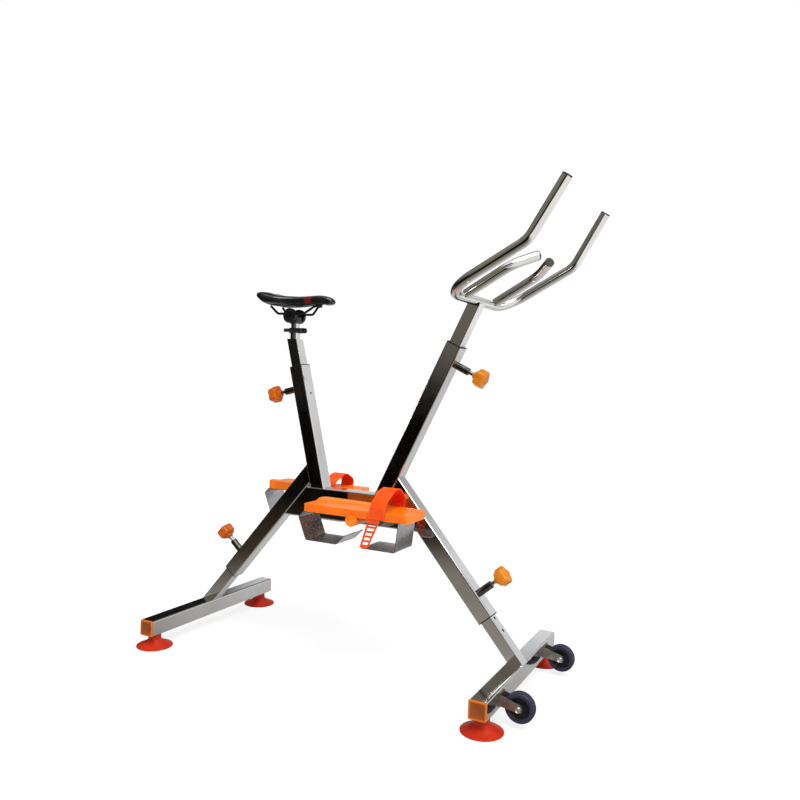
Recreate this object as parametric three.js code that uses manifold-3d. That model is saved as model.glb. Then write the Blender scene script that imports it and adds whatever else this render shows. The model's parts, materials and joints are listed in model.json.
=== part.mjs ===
// Water exercise bike: a polished stainless frame of square tubes that stands on four suction
// cups, with telescoping legs, saddle and handlebar, and cranks with foot platforms and paddles.
// Millimetres, +Z up, +X towards the handlebar, +Y to the rider's left, floor at zero height.

import * as THREE from 'three';
import { mergeVertices } from 'three/addons/utils/BufferGeometryUtils.js';
import Module from 'manifold-3d';

const wasm = await Module();
wasm.setup();

// Clearances
const weld_gap = 0.3;
const slide_gap = 0.3;
const overrun = 1.5;
const cut_reach = 900;

// Square tubes
const sleeve_outer = 45;
const sleeve_wall = 2;
const sleeve_corner_radius = 4;
const inner_outer = 35;
const inner_wall = 2;
const inner_corner_radius = 3;
const tube_corner_steps = 2;

// Base
const base_half_length = 508;
const foot_bar_length = 548;
const foot_bar_height = 37;
const foot_cap_thickness = 4;
const foot_cap_insert_length = 14;
const foot_cap_edge = 1.2;

// Legs
const leg_angle_degrees = 49.5;
const rear_leg_exposed_length = 134;
const front_leg_exposed_length = 129;
const leg_tube_inside_length = 250;

// Main beam
const beam_height = 90;
const beam_top_half_span = 172.346;

// Seat and handlebar sleeves
const seat_angle_degrees = 76;
const seat_sleeve_set_in = 64.846;
const seat_sleeve_length = 362.5;
const seat_tube_exposed_length = 84.5;
const seat_tube_inside_length = 250;
const bar_angle_degrees = 64.5;
const bar_sleeve_set_in = 63.346;
const bar_sleeve_length = 465;
const bar_tube_inside_length = 250;

// Sleeve mouth bushes
const bush_flange_thickness = 2.4;
const bush_skirt_length = 28;

// Lock pins, barrels and knobs
const barrel_radius = 10;
const barrel_length = 42;
const pin_radius = 5;
const pin_neck_length = 32;
const pin_sides = 12;
const leg_pin_distance = 64;
const seat_pin_distance = 63;
const bar_pin_distance = 48;
const pin_hole_pitch = 37;
const leg_lowest_hole = 55;
const pin_hole_radius = 4.6;
const pin_hole_sides = 8;
const seat_upper_hole_count = 2;
const bar_upper_hole_count = 1;
const knob_radius = 23.5;
const knob_lobe_height = 2;
const knob_lobe_count = 5;
const knob_outline_steps = 25;
const knob_thickness = 28;
const knob_edge = 6;
const knob_edge_steps = 2;
const knob_neck_radius = 9;
const knob_neck_length = 9;
const knob_grip_length = 16;

// Suction cups
const cup_radius = 51;
const cup_spacing_inset = 31;
const cup_ring_width = 8;
const cup_rim_height = 3.5;
const cup_rim_bevel = 1.2;
const cup_hollow_height = 5;
const cup_shoulder_radius = 30;
const cup_shoulder_height = 12;
const cup_neck_radius = 18;
const cup_neck_start_height = 19;
const cup_sides = 24;

// Casters
const caster_inset = 94;
const caster_axle_forward = 46.5;
const caster_axle_height = 48;
const wheel_radius = 36;
const wheel_half_width = 12;
const wheel_hub_radius = 12;
const wheel_hub_overhang = 1;
const wheel_web_half_width = 8;
const wheel_rim_radius = 25;
const wheel_tread_edge = 4;
const wheel_sides = 24;
const fork_sheet = 3;
const fork_plate_height = 32;
const fork_eye_radius = 10;
const fork_root_half_height = 13;
const axle_radius = 4;
const axle_head_radius = 7;
const axle_head_thickness = 4;

// Cranks
const crank_axis_x = -48;
const crank_length = 160;
const crank_shell_radius = 21;
const crank_shell_wall = 3;
const crank_shell_overhang = 8;
const bearing_length = 14;
const bearing_flange_thickness = 2.5;
const spindle_radius = 10;
const crank_arm_offset = 43;
const crank_arm_thickness = 14;
const crank_root_radius = 17;
const crank_eye_radius = 14;
const crank_waist_share = 0.72;
const pedal_axle_radius = 7;
const pedal_axle_collar_radius = 10;
const round_sides = 20;
const nut_sides = 6;

// Foot platforms
const pedal_inner_offset = 81;
const pedal_width = 107;
const pedal_rear_length = 153;
const pedal_front_length = 162;
const pedal_bottom_offset = 8;
const pedal_height = 20;
const pedal_wall = 4;
const pedal_corner_radius = 12;
const pedal_rim_height = 6;
const pedal_rim_front_height = 1.5;
const pedal_rim_width = 28;
const pedal_rim_ramp = 14;
const pedal_boss_radius = 15.5;
const pedal_boss_overhang = 7;
const pedal_boss_floor = 5;
const pedal_rib_thickness = 5;
const pedal_rib_places_share = [-0.62, -0.3, 0.3, 0.62];

// Paddles under the platforms
const paddle_sheet = 2;
const paddle_side_inset = 5;
const paddle_boss_gap = 4;
const paddle_rear_shelf_x = -154;
const paddle_rear_top_x = -169;
const paddle_rear_top_z = -9;
const paddle_rear_foot_x = -144;
const paddle_floor_z = -69;
const paddle_rear_floor_end_x = -49;
const paddle_lip_end_x = -22;
const paddle_lip_end_z = -43;
const paddle_front_top_x = 133;
const paddle_front_foot_x = 125;
const paddle_front_floor_end_x = 28;

// Foot straps
const strap_width = 45;
const strap_start_x = 50;
const strap_thickness = 3;
const right_strap_crown_offset = 95;
const left_strap_crown_offset = 74;
const strap_shoulder_rise_share = 0.33;
const strap_shoulder_inset = 6;
const strap_bend_radius = 40;
const strap_shoulder_bend_radius = 20;
const strap_side_bend_radius = 10;
const strap_side_offset = 40;
const strap_lean_share = 0.16;
const strap_end_offset = 12;
const strap_neck_width = 34;
const strap_tail_width = 24;
const strap_tail_length = 71;
const strap_tail_lean = 23;
const strap_window_count = 5;
const strap_window_margin = 4.5;

// Seat post, quick clamp and saddle clamp
const stub_radius = 14.3;
const stub_wall = 1.3;
const stub_length = 31.15;
const stub_plate_thickness = 2.5;
const post_wall = 2;
const post_inside_length = 39;
const post_exposed_length = 30.12;
const post_sides = 16;
const collar_wall = 4;
const collar_height = 15;
const collar_rise = 1.5;
const lug_length = 17;
const lug_thickness = 5;
const lug_slit = 4;
const skewer_radius = 2.5;
const skewer_nut_radius = 6;
const skewer_nut_length = 6;
const skewer_inset = 7;
const lever_cam_radius = 7;
const lever_height = 10;
const lever_thickness = 5;
const lever_length = 53;
const lever_eye_radius = 4.5;
const lever_eye_height = 5;
const lever_pin_radius = 2;
const clamp_ring_wall = 4.5;
const clamp_ring_height = 15.5;
const clamp_barrel_radius = 9;
const clamp_barrel_rise = 7;
const clamp_barrel_back = 4;
const clamp_barrel_half_width = 18;
const cradle_radius = 22;
const cradle_width = 9.5;
const cradle_bolt_radius = 4;
const cradle_nut_radius = 7;
const cradle_nut_length = 6;
const rail_spacing = 46;
const rail_radius = 3.5;
const rail_rise = 6;
const rail_rear_length = 66;
const rail_rear_spread = 60;
const rail_rear_run = 22;
const rail_straight_length = 50;
const rail_front_run = 28;
const rail_nose_length = 14;
const rail_nose_spread = 19;
const rail_nose_rise_share = 0.07;
const rail_rear_rise_share = 0.085;
const rail_bend_radius = 14;
const rail_nose_radius = 8;
const rail_sides = 8;

// Saddle
const saddle_rear_reach = 124.3;
const saddle_length = 264;
const saddle_width = 146;
const saddle_floor_rise = 28.5;
const saddle_crown_height = 48;
const saddle_base_thickness = 4.5;
const saddle_base_width_share = 0.58;
const saddle_recess_width_share = 0.7;
const saddle_station_shares = [
  0, 0.015, 0.056, 0.116, 0.18, 0.257, 0.354, 0.466, 0.586, 0.705, 0.817, 0.907, 0.97, 1];
const saddle_width_shares = [
  0.24, 0.4, 0.6, 0.8, 0.93, 1, 0.93, 0.68, 0.47, 0.34, 0.295, 0.27, 0.2, 0.08];
const saddle_top_shares = [
  0.78, 0.84, 0.89, 0.905, 0.87, 0.77, 0.65, 0.61, 0.59, 0.615, 0.645, 0.585, 0.44, 0.3];
const saddle_floor_shares = [
  0.66, 0.6, 0.49, 0.34, 0.14, 0.03, 0.02, 0, 0.01, 0.06, 0.08, 0.04, 0.08, 0.16];
const saddle_base_skip_count = 4;
const saddle_base_station_count = 7;
const saddle_notch_depth = 22;
const saddle_notch_half_width = 16;
const saddle_channel_depth = 9;
const saddle_channel_reach_share = 0.4;
const saddle_ring_steps = 32;
const saddle_side_height_share = 0.45;
const saddle_roundness_share = 0.62;

// Handlebar
const bar_radius = 12.5;
const bar_wall = 1.5;
const bar_sides = 14;
const bar_bore_sides = 8;
const bar_tube_exposed_length = 128.85;
const bar_half_width = 207;
const bar_tip_half_width = 200;
const bar_lower_arm_length = 227;
const bar_upper_arm_length = 160;
const bar_lower_angle_degrees = 29.5;
const bar_upper_angle_degrees = 59.5;
const bar_corner_radius = 74;
const bar_elbow_radius = 70;
const bend_steps = 5;
const grip_half_spacing = 106;
const grip_angle_degrees = 30.5;
const grip_length = 148;
const grip_tip_length = 74.5;
const grip_tip_turn_degrees = 45;
const grip_bend_radius = 70;
const plug_flange_thickness = 3;
const plug_stem_length = 16;

// Worked out places
const degree = Math.PI / 180;
const sleeve_half = sleeve_outer / 2;
const inner_half = inner_outer / 2;
const foot_bar_top = foot_bar_height + sleeve_outer;
const seat_angle = seat_angle_degrees * degree;
const bar_angle = bar_angle_degrees * degree;
const leg_angle = leg_angle_degrees * degree;
const leg_span = base_half_length - beam_top_half_span;
const beam_top_height = foot_bar_top + leg_span * Math.tan(leg_angle);
const beam_bottom_height = beam_top_height - beam_height;
const crank_axis_height = beam_bottom_height + beam_height / 2;
const seat_sleeve_base_x = seat_sleeve_set_in - beam_top_half_span;
const bar_sleeve_base_x = beam_top_half_span - bar_sleeve_set_in;
const leg_sleeve_end = leg_span / Math.cos(leg_angle) + beam_height;
const post_radius = stub_radius - stub_wall - slide_gap;

// Materials
function finish(color, roughness, metalness) {
  return new THREE.MeshStandardMaterial({ color, roughness, metalness });
}

const stainless = finish(0xb9bab8, 0.12, 1);
const dark_steel = finish(0x55565a, 0.3, 1);
const black_plastic = finish(0x141414, 0.45, 0);
const orange_plastic = finish(0xf2650f, 0.4, 0);
const amber_plastic = finish(0xe98a24, 0.35, 0);
const red_rubber = finish(0xd8380f, 0.45, 0);
const strap_rubber = finish(0xf4531a, 0.5, 0);
const wheel_rubber = finish(0x2c2c38, 0.6, 0);
const saddle_vinyl = finish(0x101010, 0.3, 0);
const black_steel = finish(0x1b1b1c, 0.35, 0.8);

// Shape tools
function solid(geometry) {
  const bare = geometry.clone();
  bare.deleteAttribute('normal');
  bare.deleteAttribute('uv');
  const merged = mergeVertices(bare);
  const corners = [];
  for (let i = 0; i < merged.index.count; i += 3) {
    const a = merged.index.getX(i);
    const b = merged.index.getX(i + 1);
    const c = merged.index.getX(i + 2);
    if (a !== b && b !== c && c !== a) corners.push(a, b, c);
  }
  const vertProperties = Float32Array.from(merged.attributes.position.array);
  const triVerts = Uint32Array.from(corners);
  return new wasm.Manifold(new wasm.Mesh({ numProp: 3, vertProperties, triVerts }));
}

function named(name, shape, material, parent) {
  const result = shape.getMesh();
  const geometry = new THREE.BufferGeometry();
  const positions = new THREE.BufferAttribute(Float32Array.from(result.vertProperties), 3);
  geometry.setAttribute('position', positions);
  geometry.setIndex(new THREE.BufferAttribute(Uint32Array.from(result.triVerts), 1));
  geometry.computeVertexNormals();
  const mesh = new THREE.Mesh(geometry, material);
  mesh.name = name;
  parent.add(mesh);
  return mesh;
}

function roundedRectangle(width, depth, radius) {
  const shape = new THREE.Shape();
  const x = width / 2 - radius;
  const y = depth / 2 - radius;
  shape.absarc(x, y, radius, 0, Math.PI / 2);
  shape.absarc(-x, y, radius, Math.PI / 2, Math.PI);
  shape.absarc(-x, -y, radius, Math.PI, Math.PI * 1.5);
  shape.absarc(x, -y, radius, Math.PI * 1.5, Math.PI * 2);
  shape.closePath();
  return shape;
}

function bar(width, depth, radius, start, end) {
  const options = { depth: end - start, bevelEnabled: false, curveSegments: tube_corner_steps };
  const geometry = new THREE.ExtrudeGeometry(roundedRectangle(width, depth, radius), options);
  return geometry.translate(0, 0, start);
}

function squareTube(width, depth, wall, radius, start, end) {
  const outside = solid(bar(width, depth, radius, start, end));
  const bore_radius = Math.max(radius - wall, radius / 4);
  const bore = bar(width - wall * 2, depth - wall * 2, bore_radius, start - overrun, end + overrun);
  return outside.subtract(solid(bore));
}

function cylinder(radius, start, end, sides) {
  const geometry = new THREE.CylinderGeometry(radius, radius, end - start, sides);
  geometry.rotateX(Math.PI / 2);
  return geometry.translate(0, 0, (start + end) / 2);
}

function box(x0, x1, y0, y1, z0, z1) {
  const geometry = new THREE.BoxGeometry(x1 - x0, y1 - y0, z1 - z0);
  return geometry.translate((x0 + x1) / 2, (y0 + y1) / 2, (z0 + z1) / 2);
}

// Turned shape round the Z axis from pairs of radius and height
function turned(points, sides) {
  const outline = points.map(([radius, height]) => new THREE.Vector2(radius, height));
  const geometry = new THREE.LatheGeometry(outline, sides);
  return geometry.rotateX(Math.PI / 2);
}

function flatOutline(points) {
  return new THREE.Shape(points.map(([x, y]) => new THREE.Vector2(x, y)));
}

// Outline in X and Z, drawn out along Y
function sidePlate(shape, y0, y1, curveSegments) {
  const options = { depth: y1 - y0, bevelEnabled: false, curveSegments };
  const geometry = new THREE.ExtrudeGeometry(shape, options);
  geometry.rotateX(Math.PI / 2);
  return geometry.translate(0, y1, 0);
}

// Outline in Y and Z, drawn out along X
function crossPlate(shape, x0, x1) {
  const geometry = new THREE.ExtrudeGeometry(shape, { depth: x1 - x0, bevelEnabled: false });
  geometry.rotateX(Math.PI / 2);
  geometry.rotateZ(Math.PI / 2);
  return geometry.translate(x0, 0, 0);
}

// Line through corner points with a round bend at each inner corner
class BentLine extends THREE.Curve {
  constructor(corners, radii) {
    super();
    this.places = [corners[0].clone()];
    this.headings = [corners[1].clone().sub(corners[0]).normalize()];
    for (let i = 1; i < corners.length - 1; i += 1) this.addBend(corners, i, radii[i - 1]);
    const last = corners[corners.length - 1];
    this.places.push(last.clone());
    this.headings.push(last.clone().sub(corners[corners.length - 2]).normalize());
  }

  addBend(corners, i, radius) {
    const into = corners[i].clone().sub(corners[i - 1]).normalize();
    const away = corners[i + 1].clone().sub(corners[i]).normalize();
    const turn = into.angleTo(away);
    const setback = radius * Math.tan(turn / 2);
    const start = corners[i].clone().addScaledVector(into, -setback);
    const side = away.clone().addScaledVector(into, -into.dot(away)).normalize();
    for (let k = 0; k <= bend_steps; k += 1) {
      const angle = (turn * k) / bend_steps;
      const place = start.clone().addScaledVector(into, radius * Math.sin(angle));
      place.addScaledVector(side, radius * (1 - Math.cos(angle)));
      const heading = into.clone().multiplyScalar(Math.cos(angle));
      heading.addScaledVector(side, Math.sin(angle));
      this.places.push(place);
      this.headings.push(heading);
    }
  }

  get steps() {
    return this.places.length - 1;
  }

  getPoint(t) {
    return this.places[Math.round(t * this.steps)].clone();
  }

  getPointAt(t) {
    return this.getPoint(t);
  }

  getTangentAt(t) {
    return this.headings[Math.round(t * this.steps)].clone();
  }
}

function circle(radius, sides) {
  const points = [];
  for (let i = 0; i < sides; i += 1) {
    const angle = (i / sides) * Math.PI * 2;
    points.push([radius * Math.cos(angle), radius * Math.sin(angle)]);
  }
  return flatOutline(points);
}

function rod(path, radius, sides) {
  const options = { steps: path.steps, extrudePath: path, bevelEnabled: false };
  return solid(new THREE.ExtrudeGeometry(circle(radius, sides), options));
}

// Bent pipe whose bore runs out past both ends
function pipe(corners, bends, radius, wall, sides, bore_sides) {
  const longer = corners.map((corner) => corner.clone());
  const last = corners.length - 1;
  longer[0].addScaledVector(corners[0].clone().sub(corners[1]).normalize(), overrun);
  longer[last].addScaledVector(corners[last].clone().sub(corners[last - 1]).normalize(), overrun);
  const outside = rod(new BentLine(corners, bends), radius, sides);
  return outside.subtract(rod(new BentLine(longer, bends), radius - wall, bore_sides));
}

// Large block on one side of a line in X and Z: the line passes through the point given,
// and the block lies where the heading points
function blockTowards(x, z, heading_x, heading_z) {
  const geometry = box(-cut_reach, cut_reach, -cut_reach, cut_reach, 0, cut_reach);
  geometry.rotateY(Math.atan2(heading_x, heading_z));
  return geometry.translate(x, 0, z);
}

// Group that follows a leaning tube, with Z up along the tube and X towards its front
function leaning(x, z, angle_degrees, direction) {
  const group = new THREE.Group();
  group.position.set(x, 0, z);
  group.rotation.y = direction * (90 - angle_degrees) * degree;
  group.updateMatrix();
  return group;
}

function intoGroup(geometry, group) {
  return geometry.applyMatrix4(group.matrix.clone().invert());
}

// Cylinder along Y
function crossBar(radius, y0, y1, sides, x, z) {
  const geometry = cylinder(radius, y0, y1, sides);
  geometry.rotateX(-Math.PI / 2);
  return geometry.translate(x, 0, z);
}

// Outline with each corner rounded by its own radius
function roundedOutline(corners, radii) {
  const shape = new THREE.Shape();
  const count = corners.length;
  for (let i = 0; i < count; i += 1) {
    const here = new THREE.Vector2(...corners[i]);
    const before = new THREE.Vector2(...corners[(i + count - 1) % count]).sub(here).normalize();
    const after = new THREE.Vector2(...corners[(i + 1) % count]).sub(here).normalize();
    const start = here.clone().addScaledVector(before, radii[i]);
    const end = here.clone().addScaledVector(after, radii[i]);
    if (i === 0) shape.moveTo(start.x, start.y);
    else shape.lineTo(start.x, start.y);
    shape.quadraticCurveTo(here.x, here.y, end.x, end.y);
  }
  shape.closePath();
  return shape;
}

// Closed outline of a bent sheet from its middle line
function sheetOutline(points, thickness) {
  const left = [];
  const right = [];
  const last = points.length - 1;
  points.forEach((point, i) => {
    const here = new THREE.Vector2(...point);
    const into = here.clone().sub(new THREE.Vector2(...points[Math.max(i - 1, 0)]));
    const away = new THREE.Vector2(...points[Math.min(i + 1, last)]).sub(here);
    if (i === 0) into.copy(away);
    if (i === last) away.copy(into);
    into.normalize();
    away.normalize();
    const along = into.clone().add(away).normalize();
    const reach = thickness / 2 / along.dot(into);
    left.push([here.x - along.y * reach, here.y + along.x * reach]);
    right.push([here.x + along.y * reach, here.y - along.x * reach]);
  });
  return flatOutline(left.concat(right.reverse()));
}

const bike = new THREE.Group();
const rear_leg = leaning(-base_half_length, foot_bar_top, leg_angle_degrees, 1);
const front_leg = leaning(base_half_length, foot_bar_top, leg_angle_degrees, -1);
const seat_line = leaning(seat_sleeve_base_x, beam_top_height, seat_angle_degrees, -1);
const bar_line = leaning(bar_sleeve_base_x, beam_top_height, bar_angle_degrees, 1);
bike.add(rear_leg, front_leg, seat_line, bar_line);

// Frame: four sleeves on the main beam
const seat_back_x = seat_sleeve_base_x - (sleeve_half + weld_gap) / Math.sin(seat_angle);
const bar_front_x = bar_sleeve_base_x + (sleeve_half + weld_gap) / Math.sin(bar_angle);
const leg_face = sleeve_half + weld_gap;

function sleeve(start, end, pin_place, side) {
  const shape = squareTube(sleeve_outer, sleeve_outer, sleeve_wall, sleeve_corner_radius, start, end);
  const stand_end = sleeve_half + barrel_length;
  const stand = cylinder(barrel_radius, sleeve_half - sleeve_wall / 2, stand_end, round_sides);
  const bore_start = sleeve_half - sleeve_wall - overrun;
  const bore = cylinder(pin_radius + slide_gap, bore_start, stand_end + overrun, pin_sides);
  for (const piece of [stand, bore]) {
    piece.rotateY((side * Math.PI) / 2);
    piece.translate(0, 0, pin_place);
  }
  return shape.add(solid(stand)).subtract(solid(bore));
}

const seat_sleeve_block = blockTowards(
  seat_back_x, beam_top_height, Math.sin(seat_angle), Math.cos(seat_angle));
const bar_sleeve_block = blockTowards(
  bar_front_x, beam_top_height, -Math.sin(bar_angle), Math.cos(bar_angle));
const rear_pin_place = rear_leg_exposed_length + leg_pin_distance;
const front_pin_place = front_leg_exposed_length + leg_pin_distance;
const seat_pin_place = seat_sleeve_length - seat_pin_distance;
const bar_pin_place = bar_sleeve_length - bar_pin_distance;

const rear_sleeve = sleeve(rear_leg_exposed_length, leg_sleeve_end, rear_pin_place, -1)
  .subtract(solid(intoGroup(seat_sleeve_block, rear_leg)));
named('rear_leg_sleeve', rear_sleeve, stainless, rear_leg);

const front_sleeve = sleeve(front_leg_exposed_length, leg_sleeve_end, front_pin_place, 1)
  .subtract(solid(intoGroup(bar_sleeve_block, front_leg)));
named('front_leg_sleeve', front_sleeve, stainless, front_leg);

function uprightSleeve(name, length, pin_place, side, group) {
  const below_beam = blockTowards(0, beam_top_height + weld_gap, 0, -1);
  const whole = sleeve(-sleeve_outer, length, pin_place, side);
  named(name, whole.subtract(solid(intoGroup(below_beam, group))), stainless, group);
}

uprightSleeve('seat_sleeve', seat_sleeve_length, seat_pin_place, -1, seat_line);
uprightSleeve('handlebar_sleeve', bar_sleeve_length, bar_pin_place, 1, bar_line);

const beam_length = base_half_length * 2;
let beam = squareTube(
  beam_height, sleeve_outer, sleeve_wall, sleeve_corner_radius, -beam_length / 2, beam_length / 2);
beam = beam.rotate([0, 90, 0]).translate([0, 0, beam_bottom_height + beam_height / 2]);
for (const direction of [-1, 1]) {
  const face_x = direction * (base_half_length - leg_face * Math.sin(leg_angle));
  const face_z = foot_bar_top - leg_face * Math.cos(leg_angle);
  const leg_block = blockTowards(
    face_x, face_z, direction * Math.sin(leg_angle), Math.cos(leg_angle));
  beam = beam.subtract(solid(leg_block));
}
const shell_half = sleeve_half + crank_shell_overhang;
const shell = crossBar(
  crank_shell_radius, -shell_half, shell_half, round_sides, crank_axis_x, crank_axis_height);
const shell_bore_radius = crank_shell_radius - crank_shell_wall;
const shell_bore = crossBar(
  shell_bore_radius, -cut_reach, cut_reach, round_sides, crank_axis_x, crank_axis_height);
named('main_beam', beam.add(solid(shell)).subtract(solid(shell_bore)), stainless, bike);

// Mouth bushes: a flange on the sleeve's end and a skirt inside it
function bush(name, mouth, direction, group) {
  const side = inner_outer + slide_gap * 2;
  const skirt_side = sleeve_outer - sleeve_wall * 2 - slide_gap * 2;
  const near = mouth + direction * weld_gap;
  const far = near + direction * bush_flange_thickness;
  const skirt_end = mouth - direction * bush_skirt_length;
  const flange = bar(
    sleeve_outer, sleeve_outer, sleeve_corner_radius, Math.min(near, far), Math.max(near, far));
  const skirt_radius = Math.max(sleeve_corner_radius - sleeve_wall - slide_gap, slide_gap);
  const skirt = bar(
    skirt_side, skirt_side, skirt_radius, Math.min(far, skirt_end), Math.max(far, skirt_end));
  const mouth_hole = bar(side, side, inner_corner_radius / 2, mouth - cut_reach, mouth + cut_reach);
  const shape = solid(flange).add(solid(skirt)).subtract(solid(mouth_hole));
  named(name, shape, black_plastic, group);
}

bush('rear_leg_bush', rear_leg_exposed_length, -1, rear_leg);
bush('front_leg_bush', front_leg_exposed_length, -1, front_leg);
bush('seat_bush', seat_sleeve_length, 1, seat_line);
bush('handlebar_bush', bar_sleeve_length, 1, bar_line);

// Inner tube with its row of pin holes, one of them in line with the pin
function innerTube(start, end, pin_place, side, first_hole, last_hole) {
  let shape = squareTube(inner_outer, inner_outer, inner_wall, inner_corner_radius, start, end);
  for (let i = first_hole; i <= last_hole; i += 1) {
    const hole = cylinder(pin_hole_radius, 0, inner_half + overrun, pin_hole_sides);
    hole.rotateY((side * Math.PI) / 2);
    hole.translate(0, 0, pin_place + i * pin_hole_pitch);
    shape = shape.subtract(solid(hole));
  }
  return shape;
}

// Feet: an inner leg tube welded on a cross bar
function footPiece(name, exposed, pin_place, side, group, direction) {
  const end = exposed + leg_tube_inside_length;
  const down_holes = Math.floor((pin_place - leg_lowest_hole) / pin_hole_pitch);
  const up_holes = Math.floor((end - pin_place - pin_hole_pitch / 2) / pin_hole_pitch);
  let shape = innerTube(-sleeve_outer, end, pin_place, side, -down_holes, up_holes);
  const sunk = foot_bar_top - sleeve_wall / 2;
  shape = shape.subtract(solid(intoGroup(blockTowards(0, sunk, 0, -1), group)));
  const cross = squareTube(sleeve_outer, sleeve_outer, sleeve_wall, sleeve_corner_radius,
    -foot_bar_length / 2, foot_bar_length / 2).rotate([90, 0, 0]);
  const centre = new THREE.Vector3(direction * base_half_length, 0, foot_bar_height + sleeve_half);
  centre.applyMatrix4(group.matrix.clone().invert());
  const turned_cross = cross.rotate([0, -group.rotation.y / degree, 0])
    .translate([centre.x, centre.y, centre.z]);
  named(name, shape.add(turned_cross), stainless, group);
}

footPiece('rear_foot', rear_leg_exposed_length, rear_pin_place, -1, rear_leg, -1);
footPiece('front_foot', front_leg_exposed_length, front_pin_place, 1, front_leg, 1);

// End caps, suction cups and casters on the two foot bars
function footCap(name, x, side) {
  const half = foot_bar_length / 2;
  const group = new THREE.Group();
  group.position.set(x, side * (half + weld_gap), foot_bar_height + sleeve_half);
  group.rotation.x = (-side * Math.PI) / 2;
  const face = bar(sleeve_outer, sleeve_outer, sleeve_corner_radius, 0, foot_cap_thickness - foot_cap_edge);
  const inset = sleeve_outer - foot_cap_edge * 2;
  const front = bar(inset, inset, sleeve_corner_radius, 0, foot_cap_thickness);
  const insert_side = sleeve_outer - sleeve_wall * 2 - slide_gap * 2;
  const insert_radius = sleeve_corner_radius - sleeve_wall;
  const insert = bar(insert_side, insert_side, insert_radius, -foot_cap_insert_length, overrun);
  named(name, solid(face).add(solid(front)).add(solid(insert)), orange_plastic, group);
  bike.add(group);
}

function suctionCup(name, x, y) {
  const group = new THREE.Group();
  group.position.set(x, y, 0);
  const ring_outer = cup_radius - cup_rim_bevel;
  const ring_inner = ring_outer - cup_ring_width;
  const shape = turned([
    [0, cup_hollow_height],
    [ring_inner / 2, cup_hollow_height],
    [ring_inner, 0],
    [ring_outer, 0],
    [cup_radius, cup_rim_bevel],
    [cup_radius, cup_rim_height],
    [cup_shoulder_radius, cup_shoulder_height],
    [cup_neck_radius, cup_neck_start_height],
    [cup_neck_radius, foot_bar_height - weld_gap],
    [0, foot_bar_height - weld_gap],
  ], cup_sides);
  named(name, solid(shape), red_rubber, group);
  bike.add(group);
}

function casterFork(name, y) {
  const group = new THREE.Group();
  const root_x = base_half_length + sleeve_half + weld_gap;
  group.position.set(root_x, y, caster_axle_height);
  const axle_x = caster_axle_forward;
  const root_z = foot_bar_height + sleeve_half - caster_axle_height;
  const inner_face = wheel_half_width + wheel_hub_overhang + slide_gap * 2;
  const outer_face = inner_face + fork_sheet;
  const plate_half = fork_plate_height / 2;
  const plate = box(0, fork_sheet, -outer_face, outer_face, root_z - plate_half, root_z + plate_half);
  const cheek = roundedOutline([
    [0, root_z - fork_root_half_height],
    [axle_x + fork_eye_radius, -fork_eye_radius],
    [axle_x + fork_eye_radius, fork_eye_radius],
    [0, root_z + fork_root_half_height],
  ], [fork_sheet, fork_eye_radius, fork_eye_radius, fork_sheet]);
  let shape = solid(plate);
  for (const side of [-1, 1]) {
    const cheek_start = side > 0 ? inner_face : -outer_face;
    shape = shape.add(solid(sidePlate(cheek, cheek_start, cheek_start + fork_sheet, tube_corner_steps)));
    const head_start = side > 0 ? outer_face - fork_sheet / 2 : -outer_face - axle_head_thickness;
    const head_length = axle_head_thickness + fork_sheet / 2;
    const head = crossBar(axle_head_radius, head_start, head_start + head_length, round_sides, axle_x, 0);
    shape = shape.add(solid(head));
  }
  const axle = crossBar(axle_radius, -outer_face, outer_face, pin_sides, axle_x, 0);
  named(name, shape.add(solid(axle)), dark_steel, group);
  bike.add(group);
}

function casterWheel(name, y) {
  const group = new THREE.Group();
  group.position.set(base_half_length + sleeve_half + weld_gap + caster_axle_forward, y, caster_axle_height);
  const bore = axle_radius + slide_gap;
  const hub = wheel_half_width + wheel_hub_overhang;
  const web = wheel_web_half_width;
  const rim = wheel_half_width - wheel_hub_overhang;
  const tread = wheel_half_width - wheel_tread_edge;
  const half_outline = [
    [bore, hub],
    [wheel_hub_radius, hub],
    [wheel_hub_radius, web],
    [wheel_rim_radius, web],
    [wheel_rim_radius, rim],
    [wheel_radius - wheel_tread_edge, wheel_half_width],
    [wheel_radius, tread],
  ];
  const mirrored = half_outline.map(([r, h]) => [r, -h]).reverse();
  const outline = half_outline.concat(mirrored);
  outline.push(outline[0]);
  const shape = turned(outline.reverse(), wheel_sides);
  shape.rotateX(Math.PI / 2);
  named(name, solid(shape), wheel_rubber, group);
  bike.add(group);
}

const cup_offset = foot_bar_length / 2 - cup_spacing_inset;
const caster_offset = foot_bar_length / 2 - caster_inset;
for (const [end, direction] of [['rear', -1], ['front', 1]]) {
  for (const [hand, side] of [['right', -1], ['left', 1]]) {
    footCap(`${end}_${hand}_cap`, direction * base_half_length, side);
    suctionCup(`${end}_${hand}_cup`, direction * base_half_length, side * cup_offset);
  }
}
for (const [hand, side] of [['right', -1], ['left', 1]]) {
  casterFork(`${hand}_caster_fork`, side * caster_offset);
  casterWheel(`${hand}_caster_wheel`, side * caster_offset);
}

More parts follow.
